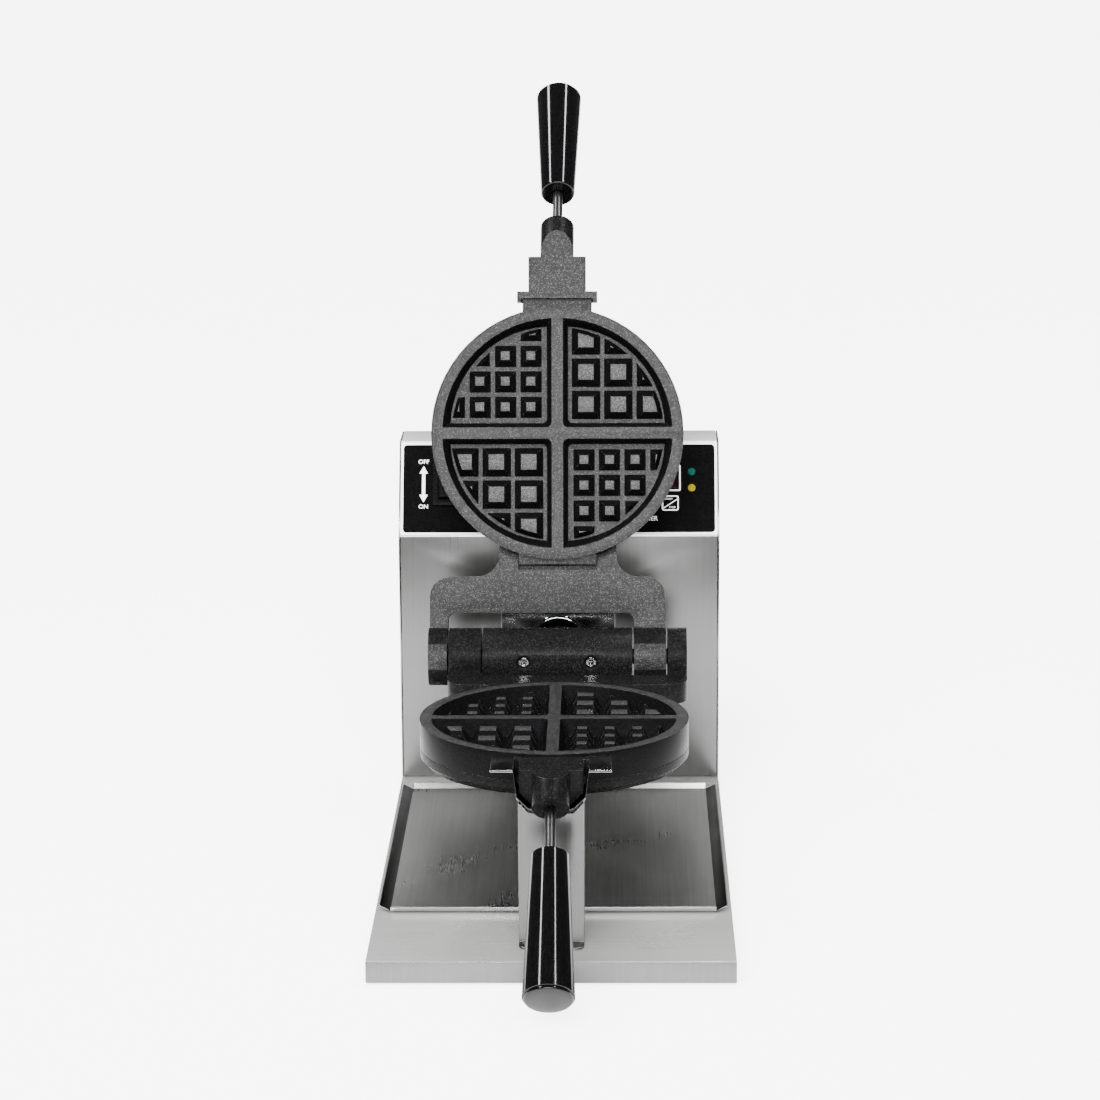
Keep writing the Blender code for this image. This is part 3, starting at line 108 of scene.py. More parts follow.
class WaffleFinishes(bpy.types.PropertyGroup):
    """Colours and grains of the coats and metals."""

    coat: FloatVectorProperty(
        name="Coat", description="Ground colour of the speckled non-stick coat",
        subtype='COLOR', size=3, default=(0.0125, 0.0125, 0.0127))
    fleck: FloatVectorProperty(
        name="Fleck", description="Light flecks in the non-stick coat",
        subtype='COLOR', size=3, default=(0.085, 0.085, 0.085))
    # the casting colour paints the casting's sides darker than its speckled face: painted shade on
    # one and the same coat
    casting: FloatVectorProperty(
        name="Casting", description="Smooth black of the casting's sides",
        subtype='COLOR', size=3, default=(0.0032, 0.0032, 0.0033))
    steel: FloatVectorProperty(
        name="Steel", description="Stainless sheet",
        subtype='COLOR', size=3, default=(0.22, 0.22, 0.218))
    grip: FloatVectorProperty(
        name="Grip", description="Glossy handle grips",
        subtype='COLOR', size=3, default=(0.0006, 0.0006, 0.0007))
    fleck_scale: FloatProperty(
        name="Fleck scale", description="Flecks per metre", default=1250.0, min=100.0)


class WaffleSizes(bpy.types.PropertyGroup):
    """Small sizes that the frame leaves to the looks."""

    cast_edge: FloatProperty(
        name="Cast edge", description="Radius worked on the castings' edges",
        unit='LENGTH', default=0.0011, min=0.0)
    grid_edge: FloatProperty(
        name="Grid edge", description="Radius worked on ribs, studs and rim",
        unit='LENGTH', default=0.00045, min=0.0)
    sheet_edge: FloatProperty(
        name="Sheet edge", description="Radius of a fold in the sheet metal",
        unit='LENGTH', default=0.0005, min=0.0)
    print_rise: FloatProperty(
        name="Print rise", description="Height of the printed lines and letters",
        unit='LENGTH', default=0.00008, min=0.00001)
    border: FloatProperty(
        name="Label border", description="Width of the light border round the label",
        unit='LENGTH', default=0.0019, min=0.0)
    grip_sides: IntProperty(
        name="Grip sides", description="Steps round a grip", default=96, min=24)


class WaffleStudio(bpy.types.PropertyGroup):
    """Camera and lights."""

    focal: FloatProperty(
        name="Focal length", description="Lens of the camera in millimetres",
        default=116.9, min=10.0)
    key: FloatProperty(name="Left strip", description="Power of the left strip light", default=26.0)
    fill: FloatProperty(
        name="Right strip", description="Power of the right strip light", default=20.0)
    front: FloatProperty(
        name="Front strip", description="Power of the front strip light", default=100.0)
    sun: FloatProperty(name="Overhead", description="Strength of the overhead light", default=16.5)
    sky: FloatProperty(name="Surround", description="Strength of the pale surround", default=0.8)
    backdrop: FloatProperty(
        name="Backdrop", description="Extra strength of the surround behind", default=2.6, min=0.0)
    glow: FloatProperty(
        name="Floor glow", description="Light added to the floor as seen", default=5.0, min=0.0)
    floor: FloatVectorProperty(
        name="Floor", description="Colour of the floor", subtype='COLOR', size=3,
        default=(0.86, 0.86, 0.86))


# ---------------------------------------------------------------- shader groups

def new_group(name, inputs, outputs):
    """An empty node group with float inputs and the given outputs."""
    group = bpy.data.node_groups.new(name, 'ShaderNodeTree')
    for label, default in inputs.items():
        socket = group.interface.new_socket(label, in_out='INPUT', socket_type='NodeSocketFloat')
        socket.default_value = default
    for label, kind in outputs.items():
        group.interface.new_socket(label, in_out='OUTPUT', socket_type=kind)
    start = group.nodes.new('NodeGroupInput')
    end = group.nodes.new('NodeGroupOutput')
    return group, start, end


def noise(tree, scale, detail=2.0, roughness=0.5):
    node = tree.nodes.new('ShaderNodeTexNoise')
    node.inputs["Scale"].default_value = scale
    node.inputs["Detail"].default_value = detail
    node.inputs["Roughness"].default_value = roughness
    return node


def remap(tree, source, low, high, to_low=0.0, to_high=1.0):
    """A clamped linear step of a value between two limits."""
    node = tree.nodes.new('ShaderNodeMapRange')
    node.inputs["From Min"].default_value = low
    node.inputs["From Max"].default_value = high
    node.inputs["To Min"].default_value = to_low
    node.inputs["To Max"].default_value = to_high
    tree.links.new(source, node.inputs["Value"])
    return node.outputs["Result"]


def math_node(tree, operation, first, second):
    node = tree.nodes.new('ShaderNodeMath')
    node.operation = operation
    for index, value in enumerate((first, second)):
        if isinstance(value, (int, float)):
            node.inputs[index].default_value = value
        else:
            tree.links.new(value, node.inputs[index])
    return node.outputs[0]


def fleck_group():
    """Speckle of a cast coat: a broad shade, a mask of small round glints and a height."""
    found = bpy.data.node_groups.get("coat flecks")
    if found:
        return found
    group, start, end = new_group(
        "coat flecks", {"Scale": 700.0, "Cover": 0.5},
        {"Shade": 'NodeSocketFloat', "Mask": 'NodeSocketFloat', "Height": 'NodeSocketFloat'})
    coords = group.nodes.new('ShaderNodeTexCoord')
    grains = group.nodes.new('ShaderNodeTexVoronoi')
    group.links.new(coords.outputs["Object"], grains.inputs["Vector"])
    group.links.new(start.outputs["Scale"], grains.inputs["Scale"])
    split = group.nodes.new('ShaderNodeSeparateColor')
    group.links.new(grains.outputs["Color"], split.inputs["Color"])
    spot = remap(group, grains.outputs["Distance"], 0.2, 0.5, 1.0, 0.0)
    chosen = math_node(group, 'LESS_THAN', split.outputs["Red"], start.outputs["Cover"])
    glow = remap(group, split.outputs["Green"], 0.0, 1.0, 0.2, 1.0)
    mask = math_node(group, 'MULTIPLY', math_node(group, 'MULTIPLY', spot, chosen), glow)
    group.links.new(mask, end.inputs["Mask"])
    broad = noise(group, 1.0, 3.0, 0.6)
    group.links.new(coords.outputs["Object"], broad.inputs["Vector"])
    wide = math_node(group, 'MULTIPLY', start.outputs["Scale"], 0.15)
    group.links.new(wide, broad.inputs["Scale"])
    group.links.new(remap(group, broad.outputs["Fac"], 0.3, 0.7), end.inputs["Shade"])
    pebbles = noise(group, 1.0, 2.0, 0.5)
    group.links.new(coords.outputs["Object"], pebbles.inputs["Vector"])
    small = math_node(group, 'MULTIPLY', start.outputs["Scale"], 1.4)
    group.links.new(small, pebbles.inputs["Scale"])
    group.links.new(pebbles.outputs["Fac"], end.inputs["Height"])
    return group


def smudge_group():
    """Slow cloudy change over a surface, for handling marks and uneven polish."""
    found = bpy.data.node_groups.get("handling")
    if found:
        return found
    group, start, end = new_group(
        "handling", {"Scale": 20.0, "Low": 0.2, "High": 0.3}, {"Value": 'NodeSocketFloat'})
    coords = group.nodes.new('ShaderNodeTexCoord')
    cloud = noise(group, 1.0, 4.0, 0.55)
    group.links.new(coords.outputs["Object"], cloud.inputs["Vector"])
    group.links.new(start.outputs["Scale"], cloud.inputs["Scale"])
    ramp = group.nodes.new('ShaderNodeMapRange')
    ramp.inputs["From Min"].default_value = 0.35
    ramp.inputs["From Max"].default_value = 0.65
    group.links.new(cloud.outputs["Fac"], ramp.inputs["Value"])
    group.links.new(start.outputs["Low"], ramp.inputs["To Min"])
    group.links.new(start.outputs["High"], ramp.inputs["To Max"])
    group.links.new(ramp.outputs["Result"], end.inputs["Value"])
    return group


def brush_group():
    """Long fine streaks of brushed sheet; the three scales set how fine along each axis."""
    found = bpy.data.node_groups.get("brushing")
    if found:
        return found
    group, start, end = new_group(
        "brushing", {"X": 1.0, "Y": 1.0, "Z": 1.0},
        {"Value": 'NodeSocketFloat', "Height": 'NodeSocketFloat'})
    coords = group.nodes.new('ShaderNodeTexCoord')
    scale = group.nodes.new('ShaderNodeCombineXYZ')
    for axis in "XYZ":
        group.links.new(start.outputs[axis], scale.inputs[axis])
    stretch = group.nodes.new('ShaderNodeVectorMath')
    stretch.operation = 'MULTIPLY'
    group.links.new(coords.outputs["Object"], stretch.inputs[0])
    group.links.new(scale.outputs["Vector"], stretch.inputs[1])
    streak = noise(group, 1.0, 1.0, 0.5)
    group.links.new(stretch.outputs["Vector"], streak.inputs["Vector"])
    value = remap(group, streak.outputs["Fac"], 0.3, 0.7)
    group.links.new(value, end.inputs["Value"])
    group.links.new(streak.outputs["Fac"], end.inputs["Height"])
    return group


def place_group(tree, group, **values):
    node = tree.nodes.new('ShaderNodeGroup')
    node.node_tree = group
    for label, value in values.items():
        node.inputs[label].default_value = value
    return node


def tinted(colour, factor):
    """A colour made darker or lighter."""
    return tuple(min(1.0, channel * factor) for channel in colour)


def colour_mix(tree, fac, first, second):
    node = tree.nodes.new('ShaderNodeMix')
    node.data_type = 'RGBA'
    node.inputs["A"].default_value = (*first, 1.0)
    node.inputs["B"].default_value = (*second, 1.0)
    tree.links.new(fac, node.inputs["Factor"])
    return node.outputs["Result"]


def bump(tree, height, strength, distance):
    node = tree.nodes.new('ShaderNodeBump')
    node.inputs["Strength"].default_value = strength
    node.inputs["Distance"].default_value = distance
    tree.links.new(height, node.inputs["Height"])
    return node.outputs["Normal"]


def start_material(name, metallic=0.0, roughness=0.4):
    mat = bpy.data.materials.new(name)
    mat.use_nodes = True
    shader = mat.node_tree.nodes["Principled BSDF"]
    shader.inputs["Metallic"].default_value = metallic
    shader.inputs["Roughness"].default_value = roughness
    return mat, mat.node_tree, shader


# ---------------------------------------------------------------- materials

def coated(name, ground, fleck, scale, cover, roughness, shine):
    """Speckled coat: mottled dark ground, small light glints, fine grain."""
    mat, tree, shader = start_material(name)
    shader.inputs["Specular IOR Level"].default_value = shine
    flecks = place_group(tree, fleck_group(), Scale=scale, Cover=cover)
    darker = tinted(ground, 0.72)
    base = colour_mix(tree, flecks.outputs["Shade"], darker, ground)
    mixed = tree.nodes.new('ShaderNodeMix')
    mixed.data_type = 'RGBA'
    tree.links.new(flecks.outputs["Mask"], mixed.inputs["Factor"])
    tree.links.new(base, mixed.inputs["A"])
    mixed.inputs["B"].default_value = (*fleck, 1.0)
    tree.links.new(mixed.outputs["Result"], shader.inputs["Base Color"])
    tree.links.new(
        remap(tree, flecks.outputs["Shade"], 0.0, 1.0, roughness, roughness - 0.08),
        shader.inputs["Roughness"])
    tree.links.new(bump(tree, flecks.outputs["Height"], 0.6, 0.00025), shader.inputs["Normal"])
    return mat


def smooth_black(name, colour, low, high, shine, scale=35.0, grain=0.00004):
    """Smooth dark finish with slow changes of gloss and a very fine grain."""
    mat, tree, shader = start_material(name)
    shader.inputs["Specular IOR Level"].default_value = shine
    marks = place_group(tree, smudge_group(), Scale=scale, Low=low, High=high)
    tree.links.new(marks.outputs["Value"], shader.inputs["Roughness"])
    fine = noise(tree, 1400.0, 2.0)
    coords = tree.nodes.new('ShaderNodeTexCoord')
    tree.links.new(coords.outputs["Object"], fine.inputs["Vector"])
    lighter = tuple(min(1.0, channel * 1.7 + 0.003) for channel in colour)
    tree.links.new(
        colour_mix(tree, remap(tree, fine.outputs["Fac"], 0.45, 0.7), colour, lighter),
        shader.inputs["Base Color"])
    tree.links.new(bump(tree, fine.outputs["Fac"], 0.3, grain), shader.inputs["Normal"])
    return mat


BRUSH_DEPTH = 0.000006


def brushed(name, colour, streaks, low, high, tone=0.92, metallic=1.0):
    """Stainless sheet: streaks along one axis, slow changes of polish."""
    mat, tree, shader = start_material(name, metallic)
    lines = place_group(tree, brush_group(), X=streaks[0], Y=streaks[1], Z=streaks[2])
    marks = place_group(tree, smudge_group(), Scale=9.0, Low=low, High=high)
    shift = remap(tree, lines.outputs["Value"], 0.0, 1.0, -0.008, 0.008)
    rough = math_node(tree, 'ADD', marks.outputs["Value"], shift)
    tree.links.new(rough, shader.inputs["Roughness"])
    darker = tinted(colour, tone)
    tree.links.new(
        colour_mix(tree, lines.outputs["Value"], darker, colour), shader.inputs["Base Color"])
    tree.links.new(bump(tree, lines.outputs["Height"], 0.12, BRUSH_DEPTH), shader.inputs["Normal"])
    return mat


def lens_material(name, colour, glow):
    """Coloured lamp lens, slightly mottled inside."""
    mat, tree, shader = start_material(name, roughness=0.12)
    shader.inputs["Specular IOR Level"].default_value = 0.15
    cloud = place_group(tree, smudge_group(), Scale=500.0, Low=0.0, High=1.0)
    darker = tinted(colour, 0.6)
    tint = colour_mix(tree, cloud.outputs["Value"], darker, colour)
    tree.links.new(tint, shader.inputs["Base Color"])
    tree.links.new(tint, shader.inputs["Emission Color"])
    shader.inputs["Emission Strength"].default_value = glow
    return mat


def plain_grain(name, colour, roughness, metallic=0.0, spread=0.75):
    """Hidden pieces and small parts: a base colour with grain in colour, gloss and height."""
    mat, tree, shader = start_material(name, metallic)
    coords = tree.nodes.new('ShaderNodeTexCoord')
    grain = noise(tree, 400.0, 3.0, 0.6)
    tree.links.new(coords.outputs["Object"], grain.inputs["Vector"])
    mask = remap(tree, grain.outputs["Fac"], 0.35, 0.65)
    darker = tinted(colour, spread)
    tree.links.new(colour_mix(tree, mask, darker, colour), shader.inputs["Base Color"])
    tree.links.new(
        remap(tree, mask, 0.0, 1.0, roughness + 0.06, max(roughness - 0.06, 0.02)),
        shader.inputs["Roughness"])
    tree.links.new(bump(tree, grain.outputs["Fac"], 0.2, 0.00005), shader.inputs["Normal"])
    return mat


MATERIALS = {}


def make_materials(finishes):
    """Every finish of the machine, once: a maker, then its values for each name."""
    coat, fleck, cast = tuple(finishes.coat), tuple(finishes.fleck), tuple(finishes.casting)
    steel = tuple(finishes.steel)
    # bright: a lighter copy of the steel, painted light
    bright = tinted(steel, 2.0)
    glint = tinted(fleck, 0.3)
    scale = finishes.fleck_scale
    fine = 600.0
    long = 6.0
    upright = (fine, long, long)
    across = (long, fine, fine)
    rearward = (fine, long, fine)
    tables = {
        coated: {
            "grid_face": (coat, fleck, scale, 0.6, 0.36, 0.2),
            # stud_face: the stud tops, a lighter copy of the coat, painted light
            "stud_face": (tinted(coat, 1.5), fleck, scale, 0.8, 0.28, 0.3),
            # cast_face: the upper casting's face, a darker copy of the grid coat, painted shade
            "cast_face": (tinted(coat, 0.7), fleck, scale, 0.6, 0.36, 0.2),
            # cast_side: the castings' sides, a darker copy of the coat with dimmer flecks, painted
            # shade
            "cast_side": (cast, glint, scale, 0.4, 0.32, 0.05),
            # cast_edge: a lighter, glossier copy of the coat on the castings' worked edges, a
            # painted highlight
            "cast_edge": ((0.03, 0.03, 0.03), fleck, scale, 0.6, 0.22, 0.8),
            "barrel_coat": (cast, glint, scale, 0.5, 0.3, 0.11),
        },
        smooth_black: {
            # grid_wall: the sides of studs, ribs and rim, the coat painted near black, painted
            # shade
            "grid_wall": ((0.0011, 0.0011, 0.0012), 0.22, 0.32, 0.04),
            # worn_edge: the worked edges of ribs, studs and rim painted light grey, a painted
            # highlight
            "worn_edge": ((0.16, 0.16, 0.16), 0.15, 0.25, 1.0, 200.0),
            "grip_gloss": (tuple(finishes.grip), 0.07, 0.12, 0.4, 35.0, 0.000001),
            "black_moulding": ((0.0016, 0.0016, 0.0017), 0.18, 0.3, 0.08),
            "label_black": ((0.0008, 0.0008, 0.0009), 0.35, 0.45, 0.01),
            "display_red": ((0.006, 0.001, 0.001), 0.06, 0.12, 0.2),
        },
        brushed: {
            "rod_steel": ((0.1, 0.1, 0.1), (900, 900, 900), 0.3, 0.4),
            "sheet_upright": (steel, upright, 0.22, 0.32),
            "sheet_across": (steel, across, 0.2, 0.3),
            # sheet_bright and sheet_top are lighter copies of the one stainless sheet, painted
            # light; sheet_front is a little darker, painted shade
            "sheet_bright": (bright, upright, 0.12, 0.22),
            "sheet_front": (tinted(steel, 0.9), upright, 0.28, 0.38, 0.94),
            "sheet_top": ((0.9, 0.9, 0.89), across, 0.3, 0.4, 0.92, 0.65),
            # pan_top: the base pan's upward faces, a lighter copy of the steel, painted light
            "pan_top": ((0.75, 0.75, 0.74), across, 0.25, 0.35, 0.92, 0.8),
            "tray_side": ((0.05, 0.05, 0.05), rearward, 0.3, 0.4),
            # tray_steel: the tray's floor, a lighter copy of the steel, a painted reflection
            "tray_steel": ((0.62, 0.62, 0.615), rearward, 0.27, 0.33, 0.9),
            # cradle_steel: the cradle's stainless painted near black, painted shade
            "cradle_steel": ((0.07, 0.07, 0.07), (400, 400, 400), 0.2, 0.3),
            "ring_bright": ((0.8, 0.8, 0.8), (300, 300, 300), 0.05, 0.12),
        },
        lens_material: {
            # display_digit: the unlit digits, given a faint painted glow
            "display_digit": ((0.12, 0.01, 0.01), 0.05),
            "lens_green": ((0.0, 0.05, 0.038), 0.05),
            "lens_yellow": ((0.19, 0.155, 0.0), 0.2),
        },
        plain_grain: {
            "label_border": ((0.8, 0.8, 0.8), 0.4, 0.0, 0.95),
            "print_white": ((0.85, 0.85, 0.85), 0.45, 0.0, 0.95),
            "foot_rubber": ((0.02, 0.02, 0.02), 0.8),
            "board_green": ((0.02, 0.16, 0.06), 0.4),
            "heater_sheath": ((0.3, 0.28, 0.26), 0.45, 1.0),
            "varnished_iron": ((0.15, 0.14, 0.14), 0.45, 0.6),
            "bush_bronze": ((0.6, 0.42, 0.2), 0.3, 1.0),
            "terminal_nylon": ((0.76, 0.75, 0.7), 0.5),
            "contact_brass": ((0.75, 0.6, 0.3), 0.25, 1.0),
        },
    }
    for make, finishes_of in tables.items():
        for name, values in finishes_of.items():
            MATERIALS[name] = make(name, *values)


# ---------------------------------------------------------------- mesh tools

SMOOTH_ANGLE = math.radians(35)
MERGE = 0.00004                # doubles in a frame node's loose triangles

def add_piece(name, bm, finishes, node, replaced=True):
    """Link a finished bmesh as a piece that rides as a frame node does, and hide that node when it
    replaces it.
    """
    mesh = bpy.data.meshes.new(name)
    bm.to_mesh(mesh)
    bm.free()
    for finish in finishes:
        mesh.materials.append(MATERIALS[finish])
    mesh.shade_smooth()
    mesh.set_sharp_from_angle(angle=SMOOTH_ANGLE)
    obj = bpy.data.objects.new(name, mesh)
    bpy.context.scene.collection.objects.link(obj)
    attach(obj, BODY_OF[node])
    if replaced:
        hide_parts(node)


def worked_copy(node, width, segments=2, angle=28, edge_finish=None, flatten=True, shape=None):
    """A merged copy of a frame node, shaped if asked, with a radius worked on its sharp edges."""
    bm = bmesh.new()
    bm.from_mesh(frame["nodes"][node].data)
    bmesh.ops.remove_doubles(bm, verts=bm.verts, dist=MERGE)
    bmesh.ops.dissolve_degenerate(bm, edges=bm.edges, dist=MERGE)
    if flatten:
        bmesh.ops.dissolve_limit(
            bm, angle_limit=math.radians(0.6), verts=bm.verts, edges=bm.edges,
            use_dissolve_boundaries=False)
    if shape is not None:
        shape(bm)
    for face in bm.faces:
        face.material_index = 0
    limit = math.radians(angle)
    sharp = [edge for edge in bm.edges if edge.is_manifold and edge.calc_face_angle() > limit]
    if width > 0 and sharp:
        worked = bmesh.ops.bevel(
            bm, geom=sharp, offset=width, offset_type='OFFSET', segments=segments, profile=0.5,
            affect='EDGES', clamp_overlap=True, material=-1)
        if edge_finish is not None:
            for face in worked["faces"]:
                face.material_index = edge_finish
    many = [face for face in bm.faces if len(face.verts) > 4]
    bmesh.ops.triangulate(bm, faces=many, quad_method='BEAUTY', ngon_method='BEAUTY')
    bm.normal_update()
    return bm


def retouch(node, finish):
    """A frame node that keeps its shape and takes a new finish."""
    obj = frame["nodes"][node]
    obj.data.materials.clear()
    obj.data.materials.append(MATERIALS[finish])


def rework(node, width, finish, segments=2, angle=28, flatten=True, edges=None):
    """Replace a node by its worked copy in one finish, or two when its edges take a painted
    highlight.
    """
    bm = worked_copy(
        node, width, segments, angle, flatten=flatten, edge_finish=None if edges is None else 1)
    finishes = [finish] if edges is None else [finish, edges]
    add_piece(node + "_worked", bm, finishes, node)


def spun(profile, steps, place):
    """A profile of (radius, height) points turned about Z, then put in place."""
    bm = bmesh.new()
    verts = [bm.verts.new((radius, 0, height)) for radius, height in profile]
    edges = [bm.edges.new(pair) for pair in zip(verts, verts[1:])]
    bmesh.ops.spin(
        bm, geom=verts + edges, cent=(0, 0, 0), axis=(0, 0, 1), angle=math.tau, steps=steps,
        use_merge=True)
    bmesh.ops.remove_doubles(bm, verts=bm.verts, dist=0.000002)
    bmesh.ops.recalc_face_normals(bm, faces=bm.faces)
    bm.transform(place)
    return bm


def arc_points(centre, radius, start, end, steps):
    """Points on an arc between two angles in degrees."""
    points = []
    for step in range(steps + 1):
        angle = math.radians(start + (end - start) * step / steps)
        points.append((centre[0] + radius * math.cos(angle), centre[1] + radius * math.sin(angle)))
    return points


def rounded_plate(bm, centre, size, radius, low, high):
    """A flat plate with rounded corners, from low to high."""
    place = Matrix.Translation((centre[0], centre[1], (low + high) / 2))
    cube = bmesh.ops.create_cube(
        bm, size=1, matrix=place @ Matrix.Diagonal((size[0], size[1], high - low, 1)))
    edges = {edge for vert in cube["verts"] for edge in vert.link_edges}
    half = (high - low) / 2
    upright = [edge for edge in edges if abs(edge.verts[0].co.z - edge.verts[1].co.z) > half]
    bmesh.ops.bevel(
        bm, geom=upright, offset=radius, segments=6, profile=0.5, affect='EDGES', material=-1)


def rounded_frame(bm, centre, size, radius, line, low, high):
    """A printed outline: a rounded rectangle of a given line width."""
    place = Matrix.Translation((centre[0], centre[1], low))
    sheet = bmesh.ops.create_grid(
        bm, x_segments=1, y_segments=1, size=0.5, matrix=place @ Matrix.Diagonal((*size, 1, 1)))
    rounded = bmesh.ops.bevel(
        bm, geom=sheet["verts"], offset=radius, segments=5, profile=0.5, affect='VERTICES',
        material=-1)
    around = {face for vert in rounded["verts"] for face in vert.link_faces}
    face = max(around, key=lambda item: item.calc_area())
    rim = bmesh.ops.inset_region(
        bm, faces=[face], thickness=line, use_boundary=True, use_even_offset=True)
    bmesh.ops.delete(bm, geom=[face], context='FACES')
    raise_faces(bm, rim["faces"], high - low)


def raise_faces(bm, faces, rise):
    """Give printed faces a height along Z."""
    grown = bmesh.ops.extrude_face_region(bm, geom=faces, use_keep_orig=True)
    raised = [item for item in grown["geom"] if isinstance(item, bmesh.types.BMVert)]
    bmesh.ops.translate(bm, verts=raised, vec=(0, 0, rise))


def printed_triangle(bm, centre, base, height, low, high):
    """A printed triangle with its base along X; a negative height points it down."""
    place = Matrix.Translation((centre[0], centre[1], low)) @ Matrix.Diagonal(
        (base / math.sqrt(3), height / 1.5, 1, 1))
    made = bmesh.ops.create_circle(bm, cap_ends=True, radius=1, segments=3, matrix=place)
    faces = list({face for vert in made["verts"] for face in vert.link_faces})
    raise_faces(bm, faces, high - low)


def bar(bm, start, end, width, low, high):
    """A printed straight line."""
    start = Vector(start)
    end = Vector(end)
    run = end - start
    turn = Matrix.Rotation(math.atan2(run.y, run.x), 4, 'Z')
    middle = (start + end) / 2
    place = Matrix.Translation((middle.x, middle.y, (low + high) / 2)) @ turn
    bmesh.ops.create_cube(
        bm, size=1, matrix=place @ Matrix.Diagonal((run.length, width, high - low, 1)))


def letters(bm, words, centre, height, low, high):
    """Printed capitals of a given height, centred, as solid shapes."""
    curve = bpy.data.curves.new("letters", 'FONT')
    curve.body = words
    curve.size = height / 0.7
    curve.align_x = 'CENTER'
    curve.align_y = 'CENTER'
    curve.extrude = (high - low) / 2
    curve.resolution_u = 3
    guide = bpy.data.objects.new("letters", curve)
    bpy.context.scene.collection.objects.link(guide)
    bpy.context.view_layer.update()
    graph = bpy.context.evaluated_depsgraph_get()
    mesh = bpy.data.meshes.new_from_object(guide.evaluated_get(graph))
    mesh.transform(Matrix.Translation((centre[0], centre[1], (low + high) / 2)))
    bm.from_mesh(mesh)
    bpy.data.objects.remove(guide, do_unlink=True)
    bpy.data.meshes.remove(mesh)


# ---------------------------------------------------------------- pieces

# EDGE marks the worked edges, which take a painted highlight
FACE, WALL, STUD, EDGE = range(4)
FLAT = 0.97                    # how squarely a flat face looks at the other half
FACING = 0.9                   # and a face that is still speckled
TOP_BAND = (-0.004, -0.0018)   # heights of the studs' tops, from the mating plane
# in the lower half the cavity floor at these heights is painted dark as painted shade
FLOOR_BAND = (-0.016, -0.008)  # and of the cavity's floor
CAVITY_SHARE = 0.465           # of a grid's width, radius within which studs stand
FINE_TOP_AREA = 0.0095 ** 2
FINE_SPLAY = (0.86, 1.08)      # scale of a stud's top and of its foot
COARSE_SPLAY = (0.96, 1.06)


class GridFaces:
    """Tells the tops of one grid's studs and its cavity floor from its ribs and rim."""

    def __init__(self, prefix):
        place = half_place(prefix)
        self.back = place.inverted()
        self.axis = (place.to_3x3() @ Vector((0, 0, 1))).normalized()
        self.centre = self.back @ box_middle(prefix + "_heater")
        self.reach = box_size("lower_grid").x * CAVITY_SHARE

    def within(self, face, band):
        spot = self.back @ face.calc_center_median()
        return band[0] < spot.z < band[1] and (spot - self.centre).to_2d().length < self.reach

    def splay(self, bm):
        """Narrow the tops and widen the feet of the studs, as drafted castings have them."""
        tops = [
            face for face in bm.faces
            if face.normal.dot(self.axis) > FLAT and self.within(face, TOP_BAND)]
        for top in tops:
            middle = top.calc_center_median()
            fine = top.calc_area() < FINE_TOP_AREA
            top_scale, foot_scale = FINE_SPLAY if fine else COARSE_SPLAY
            walls = {face for edge in top.edges for face in edge.link_faces if face is not top}
            feet = {vert for face in walls for vert in face.verts} - set(top.verts)
            for vert in feet:
                foot = middle + self.axis * (vert.co - middle).dot(self.axis)
                vert.co = foot + (vert.co - foot) * foot_scale
            bmesh.ops.scale(
                bm, vec=(top_scale, top_scale, top_scale), verts=top.verts[:],
                space=Matrix.Translation(-middle))


def paint_half(bm, prefix, low_edge):
    """Speckle the faces towards the baking side and keep the glossier, painted-highlight edges on
    that side; faces turned away take painted shade, the stud tops painted light, and in the lower
    half the cavity floor painted shade.
    """
    parts = GridFaces(prefix)
    for face in bm.faces:
        towards = face.normal.dot(parts.axis)
        # worked edges part-way towards the baking side keep their painted highlight
        if face.material_index == EDGE and low_edge < towards < FLAT:
            continue
        face.material_index = FACE
        # faces turned away from the baking side take painted shade
        if towards < FACING or prefix == "lower" and parts.within(face, FLOOR_BAND):
            # in the lower half the cavity floor is painted dark too, as painted shade
            face.material_index = WALL
        # stud tops take the lighter, painted-light copy of the coat
        elif parts.within(face, TOP_BAND):
            face.material_index = STUD


class WAFFLE_OT_grids(bpy.types.Operator):
    """Baking grids with rounded ribs and studs and a speckled coat"""

    bl_idname = "waffle.grids"
    bl_label = "Grids"

    def execute(self, context):
        sizes = context.scene.waffle_sizes
        for prefix in ("lower", "upper"):
            node = prefix + "_grid"
            # the grid's worked edges take the painted highlight
            bm = worked_copy(
                node, sizes.grid_edge, 2, angle=24, edge_finish=EDGE,
                shape=GridFaces(prefix).splay)
            paint_half(bm, prefix, low_edge=0.25)
            add_piece(
                node + "_coated", bm, ["grid_face", "grid_wall", "stud_face", "worn_edge"], node)
        return {'FINISHED'}


class WAFFLE_OT_castings(bpy.types.Operator):
    """Castings of the halves and the hinge barrel"""

    bl_idname = "waffle.castings"
    bl_label = "Castings"

    def execute(self, context):
        sizes = context.scene.waffle_sizes
        for prefix in ("lower", "upper"):
            node = prefix + "_frame"
            # the casting's worked edges take the painted highlight
            bm = worked_copy(node, sizes.cast_edge, 3, edge_finish=EDGE)
            paint_half(bm, prefix, low_edge=0.7)
            # the lower casting's face takes the darker barrel coat: painted shade under the barrel
            # and the upper half
            face = "cast_face" if prefix == "upper" else "barrel_coat"
            add_piece(node + "_cast", bm, [face, "cast_side", face, "cast_edge"], node)
        rework("hinge_barrel", sizes.cast_edge * 0.6, "barrel_coat", 3)
        return {'FINISHED'}


